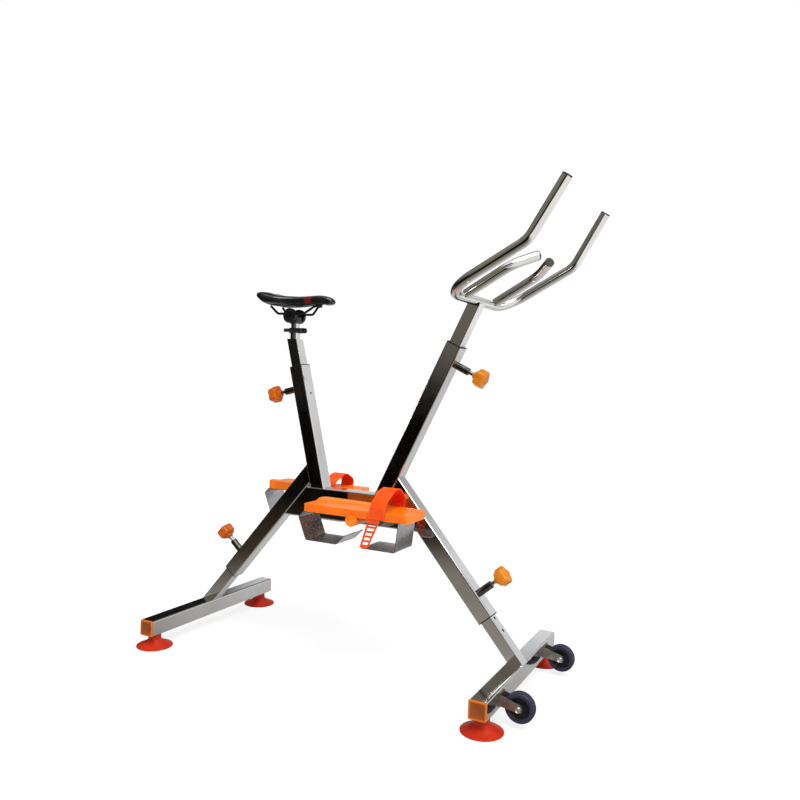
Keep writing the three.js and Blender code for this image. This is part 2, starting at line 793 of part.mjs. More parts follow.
// Lock pins and their knobs, which sit across the leaning tubes
function lockPin(name, place, side, group) {
  const start = inner_half + weld_gap * 2;
  const end = sleeve_half + barrel_length + pin_neck_length;
  const pin = cylinder(pin_radius, start, end, pin_sides);
  const knob_start = sleeve_half + barrel_length + pin_neck_length - knob_grip_length;
  const outline = [];
  for (let i = 0; i < knob_outline_steps; i += 1) {
    const angle = (i / knob_outline_steps) * Math.PI * 2;
    const radius = knob_radius - knob_edge + knob_lobe_height * Math.cos(knob_lobe_count * angle);
    outline.push([radius * Math.cos(angle), radius * Math.sin(angle)]);
  }
  const options = { depth: knob_thickness - knob_edge * 2, bevelThickness: knob_edge, bevelSize: knob_edge };
  options.bevelSegments = knob_edge_steps;
  const grip = new THREE.ExtrudeGeometry(flatOutline(outline), options);
  const grip_start = knob_start + knob_neck_length;
  grip.translate(0, 0, grip_start + knob_edge);
  const neck = cylinder(knob_neck_radius, knob_start, grip_start + knob_edge, pin_sides);
  const socket = cylinder(pin_radius + slide_gap, knob_start - overrun, end + slide_gap, pin_sides);
  for (const piece of [pin, grip, neck, socket]) {
    piece.rotateY((side * Math.PI) / 2);
    piece.translate(0, 0, place);
  }
  named(`${name}_lock_pin`, solid(pin), dark_steel, group);
  const knob = solid(grip).add(solid(neck)).subtract(solid(socket));
  named(`${name}_lock_knob`, knob, amber_plastic, group);
}

lockPin('rear_leg', rear_pin_place, -1, rear_leg);
lockPin('front_leg', front_pin_place, 1, front_leg);
lockPin('seat', seat_pin_place, -1, seat_line);
lockPin('handlebar', bar_pin_place, 1, bar_line);

// Seat tube: leaning inner tube, level top plate and upright stub for the post
const seat_tube_end = seat_sleeve_length + seat_tube_exposed_length;
const seat_top_x = seat_sleeve_base_x - seat_tube_end * Math.cos(seat_angle);
const seat_top_height = beam_top_height + seat_tube_end * Math.sin(seat_angle);
const stub_top_height = seat_top_height + stub_length;
const post_top_height = stub_top_height + post_exposed_length;
const seat_tube_start = seat_sleeve_length - seat_tube_inside_length;
const seat_down_holes = Math.floor((seat_pin_place - seat_tube_start - pin_hole_pitch / 2) / pin_hole_pitch);
let seat_tube = innerTube(seat_tube_start, seat_tube_end + inner_outer, seat_pin_place, -1,
  -seat_down_holes, seat_upper_hole_count);
seat_tube = seat_tube.subtract(
  solid(intoGroup(blockTowards(0, seat_top_height, 0, 1), seat_line)));
const plate_length = inner_outer / Math.sin(seat_angle) - weld_gap;
const seat_plate = bar(plate_length, inner_outer, inner_corner_radius,
  seat_top_height - stub_plate_thickness, seat_top_height);
const stub = cylinder(stub_radius, seat_top_height - stub_plate_thickness / 2, stub_top_height, post_sides);
const stub_bore = cylinder(stub_radius - stub_wall, seat_top_height - stub_plate_thickness - overrun,
  stub_top_height + overrun, post_sides);
for (const piece of [seat_plate, stub, stub_bore]) {
  piece.translate(seat_top_x, 0, 0);
  intoGroup(piece, seat_line);
}
seat_tube = seat_tube.add(solid(seat_plate)).add(solid(stub)).subtract(solid(stub_bore));
named('seat_tube', seat_tube, stainless, seat_line);

// Quick clamp on the stub: split collar with its skewer, and the cam lever
const seat_top = new THREE.Group();
seat_top.position.set(seat_top_x, 0, 0);
bike.add(seat_top);
const collar_bore = stub_radius + slide_gap;
const collar_radius = collar_bore + collar_wall;
const collar_top = stub_top_height + collar_rise;
const collar_bottom = collar_top - collar_height;
const collar_middle = (collar_top + collar_bottom) / 2;
const lug_face = lug_slit / 2 + lug_thickness;
const skewer_x = collar_radius + lug_length - skewer_inset;
const lever_y = -(lug_face + slide_gap + lever_cam_radius);
let collar = solid(cylinder(collar_radius, collar_bottom, collar_top, post_sides));
collar = collar.add(solid(box(
  collar_bore, collar_radius + lug_length, -lug_face, lug_face, collar_bottom, collar_top)));
collar = collar.subtract(solid(cylinder(
  collar_bore, collar_bottom - overrun, collar_top + overrun, post_sides)));
collar = collar.subtract(solid(box(
  0, collar_radius + lug_length + overrun, -lug_slit / 2, lug_slit / 2,
  collar_bottom - overrun, collar_top + overrun)));
const skewer_end = lug_face + skewer_nut_length;
const skewer = crossBar(skewer_radius, lever_y, skewer_end, pin_sides, skewer_x, collar_middle);
const skewer_nut = crossBar(
  skewer_nut_radius, lug_face - overrun, skewer_end, nut_sides, skewer_x, collar_middle);
const skewer_eye = cylinder(lever_eye_radius, collar_middle - lever_eye_height / 2,
  collar_middle + lever_eye_height / 2, pin_sides);
skewer_eye.translate(skewer_x, lever_y, 0);
const eye_hole = cylinder(lever_pin_radius + slide_gap, collar_bottom, collar_top, pin_sides);
eye_hole.translate(skewer_x, lever_y, 0);
collar = collar.add(solid(skewer)).add(solid(skewer_nut)).add(solid(skewer_eye)).subtract(solid(eye_hole));
named('quick_clamp_collar', collar, black_steel, seat_top);

const lever_group = new THREE.Group();
lever_group.position.set(skewer_x, lever_y, collar_middle);
seat_top.add(lever_group);
const lever_half = lever_height / 2;
const cheek_start = lever_eye_height / 2 + slide_gap;
const lever_face = -(lever_eye_radius + slide_gap);
let lever = solid(cylinder(lever_pin_radius, -lever_half, lever_half, pin_sides));
lever = lever.add(solid(cylinder(lever_cam_radius, cheek_start, lever_half, pin_sides)));
lever = lever.add(solid(cylinder(lever_cam_radius, -lever_half, -cheek_start, pin_sides)));
lever = lever.add(solid(box(
  -lever_length, -lever_pin_radius, lever_face - lever_thickness, lever_face, -lever_half, lever_half)));
named('quick_clamp_lever', lever, black_steel, lever_group);

// Seat post, saddle clamp and its cradle for the rails
const post_start = stub_top_height - post_inside_length;
let post = solid(cylinder(post_radius, post_start, post_top_height, post_sides));
post = post.subtract(solid(cylinder(
  post_radius - post_wall, post_start - overrun, post_top_height - post_wall, post_sides)));
named('seat_post', post, stainless, seat_top);

const clamp_bore = post_radius + slide_gap;
const clamp_radius = clamp_bore + clamp_ring_wall;
const clamp_ring_top = post_top_height + slide_gap + clamp_ring_wall / 2;
const clamp_ring_bottom = post_top_height - clamp_ring_height;
const clamp_axis_height = post_top_height + clamp_barrel_rise;
let clamp = solid(cylinder(clamp_radius, clamp_ring_bottom, clamp_ring_top, post_sides));
clamp = clamp.add(solid(crossBar(clamp_barrel_radius, -clamp_barrel_half_width,
  clamp_barrel_half_width, round_sides, -clamp_barrel_back, clamp_axis_height)));
clamp = clamp.subtract(solid(cylinder(
  clamp_bore, clamp_ring_bottom - overrun, post_top_height + slide_gap, post_sides)));
clamp = clamp.subtract(solid(crossBar(cradle_bolt_radius + slide_gap, -cut_reach, cut_reach,
  pin_sides, -clamp_barrel_back, clamp_axis_height)));
named('saddle_clamp', clamp, black_steel, seat_top);

const cradle_start = clamp_barrel_half_width + slide_gap;
const cradle_end = cradle_start + cradle_width;
const cradle_bolt_end = cradle_end + cradle_nut_length;
const saddle_group = new THREE.Group();
saddle_group.position.set(-clamp_barrel_back, 0, clamp_axis_height);
seat_top.add(saddle_group);
let cradle = solid(crossBar(cradle_bolt_radius, -cradle_bolt_end, cradle_bolt_end, pin_sides, 0, 0));
for (const side of [-1, 1]) {
  const disc_start = side > 0 ? cradle_start : -cradle_end;
  const nut_start = side > 0 ? cradle_end - overrun : -cradle_bolt_end;
  const nut_length = cradle_nut_length + overrun;
  cradle = cradle.add(solid(crossBar(
    cradle_radius, disc_start, disc_start + cradle_width, round_sides, 0, 0)));
  cradle = cradle.add(solid(crossBar(
    cradle_nut_radius, nut_start, nut_start + nut_length, nut_sides, 0, 0)));
}
for (const side of [-1, 1]) {
  const groove = cylinder(rail_radius + slide_gap, -cut_reach, cut_reach, pin_sides);
  groove.rotateY(Math.PI / 2);
  groove.translate(0, (side * rail_spacing) / 2, rail_rise);
  cradle = cradle.subtract(solid(groove));
}
named('saddle_cradle', cradle, black_steel, saddle_group);

// Saddle: bent rail wire, base plate and padded cover
const rail_seat_z = saddle_floor_rise - weld_gap - rail_radius;
const rail_nose_z = rail_seat_z + rail_nose_rise_share * saddle_crown_height;
const rail_rear_z = rail_seat_z + rail_rear_rise_share * saddle_crown_height;
const rail_front_x = rail_straight_length + rail_front_run;
const rail_nose_x = rail_front_x + rail_nose_length;
const rail_half = [
  [-rail_rear_length, rail_rear_spread / 2, rail_rear_z],
  [-rail_rear_length + rail_rear_run, rail_spacing / 2, rail_rise],
  [rail_straight_length, rail_spacing / 2, rail_rise],
  [rail_front_x, rail_nose_spread / 2, rail_nose_z],
  [rail_nose_x, rail_nose_spread / 2, rail_nose_z],
];
const rail_corners = rail_half.concat(rail_half.map(([x, y, z]) => [x, -y, z]).reverse());
const rail_bends = [rail_bend_radius, rail_bend_radius, rail_bend_radius, rail_nose_radius];
const rail_line = new BentLine(
  rail_corners.map((corner) => new THREE.Vector3(...corner)),
  rail_bends.concat(rail_bends.slice().reverse()));
named('saddle_rails', rod(rail_line, rail_radius, rail_sides), black_steel, saddle_group);

const saddle_stations = saddle_station_shares.map((share, i) => ({
  x: share * saddle_length - saddle_rear_reach,
  half: (saddle_width_shares[i] * saddle_width) / 2,
  top: saddle_floor_rise + saddle_top_shares[i] * saddle_crown_height,
  floor: saddle_floor_rise + saddle_floor_shares[i] * saddle_crown_height,
  on_base: i >= saddle_base_skip_count && i < saddle_base_skip_count + saddle_base_station_count,
}));

// Faces between rings of points with equal counts, closed across at both ends
function ringedSolid(positions, rings, steps) {
  const corners = [];
  for (let i = 0; i + 1 < rings; i += 1) {
    for (let k = 0; k < steps; k += 1) {
      const a = i * steps + k;
      const b = i * steps + ((k + 1) % steps);
      corners.push(a, b, a + steps, b, b + steps, a + steps);
    }
  }
  const last = (rings - 1) * steps;
  for (let k = 0; k + 1 < steps / 2; k += 1) {
    const below = steps - 1 - k;
    corners.push(k, below, k + 1, k + 1, below, below - 1);
    corners.push(last + k, last + k + 1, last + below, last + k + 1, last + below - 1, last + below);
  }
  const geometry = new THREE.BufferGeometry();
  geometry.setAttribute('position', new THREE.Float32BufferAttribute(positions, 3));
  geometry.setIndex(corners);
  return geometry;
}

// Base plate that follows the cover's underside
function saddleBase(stations) {
  const positions = [];
  for (const { x, half, floor } of stations) {
    const y = half * saddle_base_width_share;
    const top = floor + saddle_base_thickness;
    positions.push(x, y, top, x, -y, top, x, -y, floor, x, y, floor);
  }
  return ringedSolid(positions, stations.length, positions.length / 3 / stations.length);
}

const base_stations = saddle_stations.filter(({ on_base }) => on_base);
named('saddle_base', solid(saddleBase(base_stations)), black_plastic, saddle_group);

// Rings of points round the saddle at each station. The rear end has a notch between two lobes,
// a channel runs forward from it, and the underside is sunk for the base
function saddleCover(stations) {
  const positions = [];
  const steps = saddle_ring_steps;
  const channel_reach = saddle_length * saddle_channel_reach_share;
  for (const { x, half, top, floor, on_base } of stations) {
    const side_z = floor + (top - floor) * saddle_side_height_share;
    const fade = Math.max(0, 1 - (x + saddle_rear_reach) / channel_reach);
    for (let k = 0; k < steps; k += 1) {
      const angle = ((k + 0.5) / steps) * Math.PI * 2;
      const across = Math.sign(Math.cos(angle)) * Math.abs(Math.cos(angle)) ** saddle_roundness_share;
      const height = Math.sign(Math.sin(angle)) * Math.abs(Math.sin(angle)) ** saddle_roundness_share;
      const y = half * across;
      const dip = fade * Math.max(0, 1 - (y / saddle_notch_half_width) ** 2);
      const crown = top - side_z - dip * saddle_channel_depth;
      const under = side_z + (side_z - floor) * height;
      const sunk = on_base && height < 0 && Math.abs(across) < saddle_recess_width_share;
      const bottom = sunk ? floor + saddle_base_thickness + weld_gap : under;
      positions.push(x + saddle_notch_depth * dip * fade, y, height > 0 ? side_z + crown * height : bottom);
    }
  }
  return ringedSolid(positions, stations.length, steps);
}

named('saddle_cover', solid(saddleCover(saddle_stations)), saddle_vinyl, saddle_group);

// Handlebar: inner tube, one bent bar, two grip bars welded to it, and the end plugs
const bar_reach = bar_sleeve_length + bar_tube_exposed_length;
const bar_centre_x = bar_sleeve_base_x + bar_reach * Math.cos(bar_angle);
const bar_centre_height = beam_top_height + bar_reach * Math.sin(bar_angle);
const bar_tube_start = bar_sleeve_length - bar_tube_inside_length;
const bar_holes = Math.floor((bar_pin_place - bar_tube_start - pin_hole_pitch / 2) / pin_hole_pitch);
const bar_tube = innerTube(
  bar_tube_start, bar_reach, bar_pin_place, 1, -bar_holes, bar_upper_hole_count);
const lower_angle = bar_lower_angle_degrees * degree;
const upper_angle = bar_upper_angle_degrees * degree;
const elbow_x = bar_centre_x + bar_lower_arm_length * Math.cos(lower_angle);
const elbow_z = bar_centre_height + bar_lower_arm_length * Math.sin(lower_angle);
const tip_x = elbow_x + bar_upper_arm_length * Math.cos(upper_angle);
const tip_z = elbow_z + bar_upper_arm_length * Math.sin(upper_angle);
const elbow_half_width = bar_half_width;
const bar_corners = [
  new THREE.Vector3(tip_x, -bar_tip_half_width, tip_z),
  new THREE.Vector3(elbow_x, -elbow_half_width, elbow_z),
  new THREE.Vector3(bar_centre_x, -bar_half_width, bar_centre_height),
  new THREE.Vector3(bar_centre_x, bar_half_width, bar_centre_height),
  new THREE.Vector3(elbow_x, elbow_half_width, elbow_z),
  new THREE.Vector3(tip_x, bar_tip_half_width, tip_z),
];
const bar_bends = [bar_elbow_radius, bar_corner_radius, bar_corner_radius, bar_elbow_radius];
const handlebar = pipe(bar_corners, bar_bends, bar_radius, bar_wall, bar_sides, bar_bore_sides);
named('handlebar', handlebar, stainless, bike);

function barSeat(radius) {
  return solid(crossBar(
    radius, -bar_half_width, bar_half_width, bar_sides, bar_centre_x, bar_centre_height));
}

const tube_cope = barSeat(bar_radius + weld_gap).transform(
  bar_line.matrix.clone().invert().elements.slice());
named('handlebar_tube', bar_tube.subtract(tube_cope), stainless, bar_line);

function plug(name, place, heading) {
  const group = new THREE.Group();
  group.position.copy(place).addScaledVector(heading, weld_gap);
  group.quaternion.setFromUnitVectors(new THREE.Vector3(0, 0, 1), heading);
  const flange = cylinder(bar_radius, 0, plug_flange_thickness, bar_sides);
  const stem_radius = (bar_radius - bar_wall) * Math.cos(Math.PI / bar_bore_sides) - slide_gap;
  const stem = cylinder(stem_radius, -plug_stem_length, plug_flange_thickness / 2, bar_bore_sides);
  named(name, solid(flange).add(solid(stem)), black_plastic, group);
  bike.add(group);
}

for (const [hand, side] of [['right', -1], ['left', 1]]) {
  const rise = grip_angle_degrees * degree;
  const run = new THREE.Vector3(Math.cos(rise), 0, Math.sin(rise));
  const turn = grip_tip_turn_degrees * degree;
  const inward = new THREE.Vector3(0, -side * Math.sin(turn), 0).addScaledVector(run, Math.cos(turn));
  const start = new THREE.Vector3(bar_centre_x, side * grip_half_spacing, bar_centre_height);
  const bend = start.clone().addScaledVector(run, grip_length);
  const end = bend.clone().addScaledVector(inward, grip_tip_length);
  const grip = pipe(
    [start, bend, end], [grip_bend_radius], bar_radius, bar_wall, bar_sides, bar_bore_sides);
  named(`${hand}_grip_bar`, grip.subtract(barSeat(bar_radius + weld_gap)), stainless, bike);
  plug(`${hand}_grip_plug`, end, inward);
  const tip = side > 0 ? bar_corners[5] : bar_corners[0];
  const elbow = side > 0 ? bar_corners[4] : bar_corners[1];
  plug(`${hand}_bar_plug`, tip, tip.clone().sub(elbow).normalize());
}

// Cranks: bearings, right arm with the spindle, and left arm, each with its pedal axle
const crank = new THREE.Group();
crank.position.set(crank_axis_x, 0, crank_axis_height);
bike.add(crank);

function bearing(name, side) {
  const body_start = shell_half - bearing_length;
  const flange_start = shell_half + weld_gap;
  const end = flange_start + bearing_flange_thickness;
  const ends = (start, stop) => (side > 0 ? [start, stop] : [-stop, -start]);
  const body_radius = shell_bore_radius - slide_gap;
  let shape = solid(crossBar(body_radius, ...ends(body_start, end), round_sides, 0, 0));
  shape = shape.add(solid(crossBar(crank_shell_radius, ...ends(flange_start, end), round_sides, 0, 0)));
  const bore = crossBar(spindle_radius + slide_gap, -cut_reach, cut_reach, round_sides, 0, 0);
  named(name, shape.subtract(solid(bore)), black_plastic, crank);
}

bearing('right_crank_bearing', -1);
bearing('left_crank_bearing', 1);

const crank_arm_end = crank_arm_offset + crank_arm_thickness;
const axle_end = pedal_inner_offset + pedal_width + pedal_boss_overhang - pedal_boss_floor - slide_gap;

// Arm that points along X, towards the side given by its direction
function crankArm(side, direction) {
  const ends = (start, stop) => (side > 0 ? [start, stop] : [-stop, -start]);
  const eye_x = direction * crank_length;
  const waist = crank_eye_radius * crank_waist_share;
  const outline = roundedOutline([
    [-direction * crank_root_radius, -crank_root_radius],
    [eye_x / 2, -waist],
    [eye_x + direction * crank_eye_radius, -crank_eye_radius],
    [eye_x + direction * crank_eye_radius, crank_eye_radius],
    [eye_x / 2, waist],
    [-direction * crank_root_radius, crank_root_radius],
  ], [crank_root_radius, crank_root_radius, crank_eye_radius, crank_eye_radius, crank_root_radius,
    crank_root_radius]);
  let shape = solid(sidePlate(outline, ...ends(crank_arm_offset, crank_arm_end), tube_corner_steps + 1));
  const collar_end = pedal_inner_offset - slide_gap;
  shape = shape.add(solid(crossBar(
    pedal_axle_collar_radius, ...ends(crank_arm_end - overrun, collar_end), round_sides, eye_x, 0)));
  return shape.add(solid(crossBar(
    pedal_axle_radius, ...ends(crank_arm_end - overrun, axle_end), pin_sides, eye_x, 0)));
}

const spindle = crossBar(spindle_radius, -crank_arm_end + overrun, crank_arm_end, round_sides, 0, 0);
named('right_crank', crankArm(-1, 1).add(solid(spindle)), stainless, crank);
const left_bore = crossBar(spindle_radius + slide_gap, 0, crank_arm_end + overrun, round_sides, 0, 0);
named('left_crank', crankArm(1, -1).subtract(solid(left_bore)), stainless, crank);

// Pedals: tray with a strap over it and two bent paddle sheets below it
function pedal(hand, side, direction, crown_offset) {
  const group = new THREE.Group();
  group.position.set(direction * crank_length, 0, 0);
  crank.add(group);
  const across = (from_inner) => side * (pedal_inner_offset + from_inner);
  const ends = (start, stop) => (side > 0 ? [across(start), across(stop)] : [across(stop), across(start)]);
  const tray_top = pedal_bottom_offset + pedal_height;
  const outlineOf = (inset) => {
    const radius = pedal_corner_radius - inset;
    return roundedOutline([
      [-pedal_rear_length + inset, across(inset)],
      [pedal_front_length - inset, across(inset)],
      [pedal_front_length - inset, across(pedal_width - inset)],
      [-pedal_rear_length + inset, across(pedal_width - inset)],
    ], [radius, radius, radius, radius]);
  };
  const block = (shape, z0, z1) => {
    const options = { depth: z1 - z0, bevelEnabled: false, curveSegments: tube_corner_steps + 1 };
    return solid(new THREE.ExtrudeGeometry(shape, options).translate(0, 0, z0));
  };
  let tray = block(outlineOf(0), pedal_bottom_offset, tray_top);
  tray = tray.subtract(block(outlineOf(pedal_wall), pedal_bottom_offset - overrun, tray_top - pedal_wall));
  for (const share of pedal_rib_places_share) {
    const rib_x = share * pedal_rear_length;
    const [y0, y1] = ends(pedal_wall / 2, pedal_width - pedal_wall / 2);
    tray = tray.add(solid(box(rib_x, rib_x + pedal_rib_thickness, y0, y1,
      pedal_bottom_offset, tray_top - pedal_wall / 2)));
  }
  const rim = flatOutline([
    [across(0), tray_top - pedal_wall / 2],
    [across(pedal_rim_width + pedal_rim_ramp), tray_top - pedal_wall / 2],
    [across(pedal_rim_width + pedal_rim_ramp), tray_top],
    [across(pedal_rim_width), tray_top + pedal_rim_height],
    [across(0), tray_top + pedal_rim_height],
  ]);
  const rim_fall = pedal_rim_height - pedal_rim_front_height;
  const above_rim = blockTowards(
    -pedal_rear_length, tray_top + pedal_rim_height, rim_fall, pedal_rear_length + pedal_front_length);
  const rim_bar = solid(crossPlate(rim, -pedal_rear_length, pedal_front_length))
    .intersect(block(outlineOf(0), pedal_bottom_offset, tray_top + pedal_rim_height + overrun))
    .subtract(solid(above_rim));
  tray = tray.add(rim_bar);
  const boss_end = pedal_width + pedal_boss_overhang;
  tray = tray.add(solid(crossBar(pedal_boss_radius, ...ends(0, boss_end), round_sides, 0, 0)));
  const bore = crossBar(
    pedal_axle_radius + slide_gap, ...ends(-overrun, boss_end - pedal_boss_floor), pin_sides, 0, 0);
  named(`${hand}_pedal`, tray.subtract(solid(bore)), orange_plastic, group);

  const paddle_y = ends(paddle_side_inset, pedal_width - paddle_side_inset);
  const shelf_z = pedal_bottom_offset - weld_gap - paddle_sheet / 2;
  const shelf_x = pedal_boss_radius + paddle_boss_gap;
  const rear_sheet = sheetOutline([
    [-shelf_x, shelf_z],
    [paddle_rear_shelf_x, shelf_z],
    [paddle_rear_top_x, paddle_rear_top_z],
    [paddle_rear_foot_x, paddle_floor_z],
    [paddle_rear_floor_end_x, paddle_floor_z],
    [paddle_lip_end_x, paddle_lip_end_z],
  ], paddle_sheet);
  named(`${hand}_rear_paddle`, solid(sidePlate(rear_sheet, ...paddle_y, 1)), stainless, group);
  const front_sheet = sheetOutline([
    [shelf_x, shelf_z],
    [paddle_front_top_x, shelf_z],
    [paddle_front_foot_x, paddle_floor_z],
    [paddle_front_floor_end_x, paddle_floor_z],
  ], paddle_sheet);
  named(`${hand}_front_paddle`, solid(sidePlate(front_sheet, ...paddle_y, 1)), stainless, group);

  const off = weld_gap + strap_thickness / 2;
  const shoulder_offset = strap_side_offset + (crown_offset - strap_side_offset) * strap_shoulder_rise_share;
  const arch_half = [
    [-off, strap_end_offset],
    [-off, strap_side_offset],
    [-off + strap_shoulder_inset, shoulder_offset],
  ];
  const arch_points = arch_half.concat(
    [[pedal_width / 2, crown_offset]], arch_half.map(([w, z]) => [pedal_width - w, z]).reverse());
  const arch_line = new BentLine(
    arch_points.map(([w, z]) => new THREE.Vector3(across(w), z, 0)),
    [strap_side_bend_radius, strap_shoulder_bend_radius, strap_bend_radius,
      strap_shoulder_bend_radius, strap_side_bend_radius]);
  const arch = sheetOutline(arch_line.places.map((place) => [place.x, place.y]), strap_thickness);
  const lean = new THREE.Matrix4().set(
    1, 0, strap_lean_share, -strap_lean_share * strap_end_offset, 0, 1, 0, 0, 0, 0, 1, 0, 0, 0, 0, 1);
  const arch_band = crossPlate(arch, strap_start_x, strap_start_x + strap_width).applyMatrix4(lean);
  let strap = solid(arch_band);
  const tail_top = strap_end_offset + strap_thickness * 2;
  const tail_side = ends(pedal_width + weld_gap, pedal_width + weld_gap + strap_thickness);
  const tail_end = pedal_bottom_offset - strap_tail_length - strap_thickness;
  const neck_x = strap_start_x;
  const tail_x = neck_x - strap_tail_lean;
  const tail = roundedOutline([
    [neck_x, tail_top],
    [neck_x, pedal_bottom_offset],
    [tail_x, tail_end],
    [tail_x + strap_tail_width, tail_end],
    [neck_x + strap_neck_width, pedal_bottom_offset],
    [neck_x + strap_neck_width, tail_top],
  ], [strap_thickness, strap_thickness, strap_thickness, strap_thickness, strap_thickness, strap_thickness]);
  strap = strap.add(solid(sidePlate(tail, ...tail_side, 1)));
  const window_pitch = strap_tail_length / (strap_window_count + 1);
  for (let i = 0; i < strap_window_count; i += 1) {
    const share = (i + 1) / (strap_window_count + 1);
    const z = pedal_bottom_offset + (tail_end - pedal_bottom_offset) * share;
    const left = neck_x + (tail_x - neck_x) * share + strap_window_margin;
    const right_top = neck_x + strap_neck_width;
    const right = right_top + (tail_x + strap_tail_width - right_top) * share - strap_window_margin;
    const half_height = window_pitch / 2 - strap_window_margin / 2;
    const [y0, y1] = ends(pedal_width - overrun, pedal_width + strap_thickness + overrun * 2);
    strap = strap.subtract(solid(box(left, right, y0, y1, z - half_height, z + half_height)));
  }
  named(`${hand}_foot_strap`, strap, strap_rubber, group);
}

pedal('right', -1, 1, right_strap_crown_offset);
pedal('left', 1, -1, left_strap_crown_offset);

// The origin lies on the floor under the middle of the outer box
bike.updateMatrixWorld(true);
const outer_box = new THREE.Box3().setFromObject(bike);
bike.position.x = -(outer_box.min.x + outer_box.max.x) / 2;
bike.updateMatrixWorld(true);

export default bike;
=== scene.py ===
import json
import math

import bpy
from mathutils import Matrix, Vector


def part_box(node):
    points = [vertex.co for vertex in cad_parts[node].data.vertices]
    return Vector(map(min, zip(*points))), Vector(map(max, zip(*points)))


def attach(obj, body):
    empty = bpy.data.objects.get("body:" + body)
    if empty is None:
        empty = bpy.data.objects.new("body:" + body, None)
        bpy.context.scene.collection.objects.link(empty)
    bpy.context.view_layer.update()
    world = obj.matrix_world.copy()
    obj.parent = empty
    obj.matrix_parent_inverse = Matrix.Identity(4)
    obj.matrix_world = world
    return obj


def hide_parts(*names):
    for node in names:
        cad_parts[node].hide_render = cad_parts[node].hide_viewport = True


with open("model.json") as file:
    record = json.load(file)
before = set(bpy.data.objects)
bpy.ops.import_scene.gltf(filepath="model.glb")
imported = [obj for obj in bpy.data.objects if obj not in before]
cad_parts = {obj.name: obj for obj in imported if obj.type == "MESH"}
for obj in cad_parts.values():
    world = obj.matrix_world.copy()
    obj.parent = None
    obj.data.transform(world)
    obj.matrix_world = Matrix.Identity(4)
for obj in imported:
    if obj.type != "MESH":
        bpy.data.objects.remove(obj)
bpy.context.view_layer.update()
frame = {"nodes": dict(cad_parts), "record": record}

scene = bpy.context.scene

# Millimetres in the drawing's frame become metres in the part's frame
MM = 0.001
middle_x = (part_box("rear_right_cup")[0].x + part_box("front_right_cup")[1].x) / 2


def place(x, y, z):
    return Vector((x * MM + middle_x, y * MM, z * MM))


# Camera fitted to the photograph: focal length in its pixels, place in millimetres and turns in degrees
focal_length, photo_width, sensor_width = 738.71, 800, 36
camera_place = (1082.9, -1824.4, 796.9)
azimuth, elevation, roll = 27.22, 1.55, 1.91


def aim(azimuth, elevation, roll):
    a, e, r = math.radians(azimuth), math.radians(elevation), math.radians(roll)
    back = Vector((math.sin(a) * math.cos(e), -math.cos(a) * math.cos(e), math.sin(e)))
    right = Vector((math.cos(a), math.sin(a), 0))
    up = back.cross(right)
    tilted = right * math.cos(r) + up * math.sin(r)
    upright = up * math.cos(r) - right * math.sin(r)
    return Matrix((tilted, upright, back)).transposed()


camera_data = bpy.data.cameras.new("photo_camera")
camera_data.sensor_width = sensor_width
camera_data.lens = focal_length / photo_width * sensor_width
camera_data.clip_end = 60
camera = bpy.data.objects.new("photo_camera", camera_data)
scene.collection.objects.link(camera)
camera.matrix_world = Matrix.Translation(place(*camera_place)) @ aim(azimuth, elevation, roll).to_4x4()
scene.camera = camera
scene.view_settings.view_transform = "Standard"


# Node tools
def feed(tree, socket, value):
    """Links another socket, or sets a number or a colour without its alpha."""
    if isinstance(value, bpy.types.NodeSocket):
        tree.links.new(value, socket)
    else:
        socket.default_value = (*value, 1) if isinstance(value, tuple) else value


def mix_colours(tree, factor, first, second, kind="MIX"):
    mix = tree.nodes.new("ShaderNodeMix")
    mix.data_type = "RGBA"
    mix.blend_type = kind
    # Inputs 6 and 7 and output 2 are the ones for colours; others share their names
    for socket, value in ((mix.inputs["Factor"], factor), (mix.inputs[6], first), (mix.inputs[7], second)):
        feed(tree, socket, value)
    return mix.outputs[2]


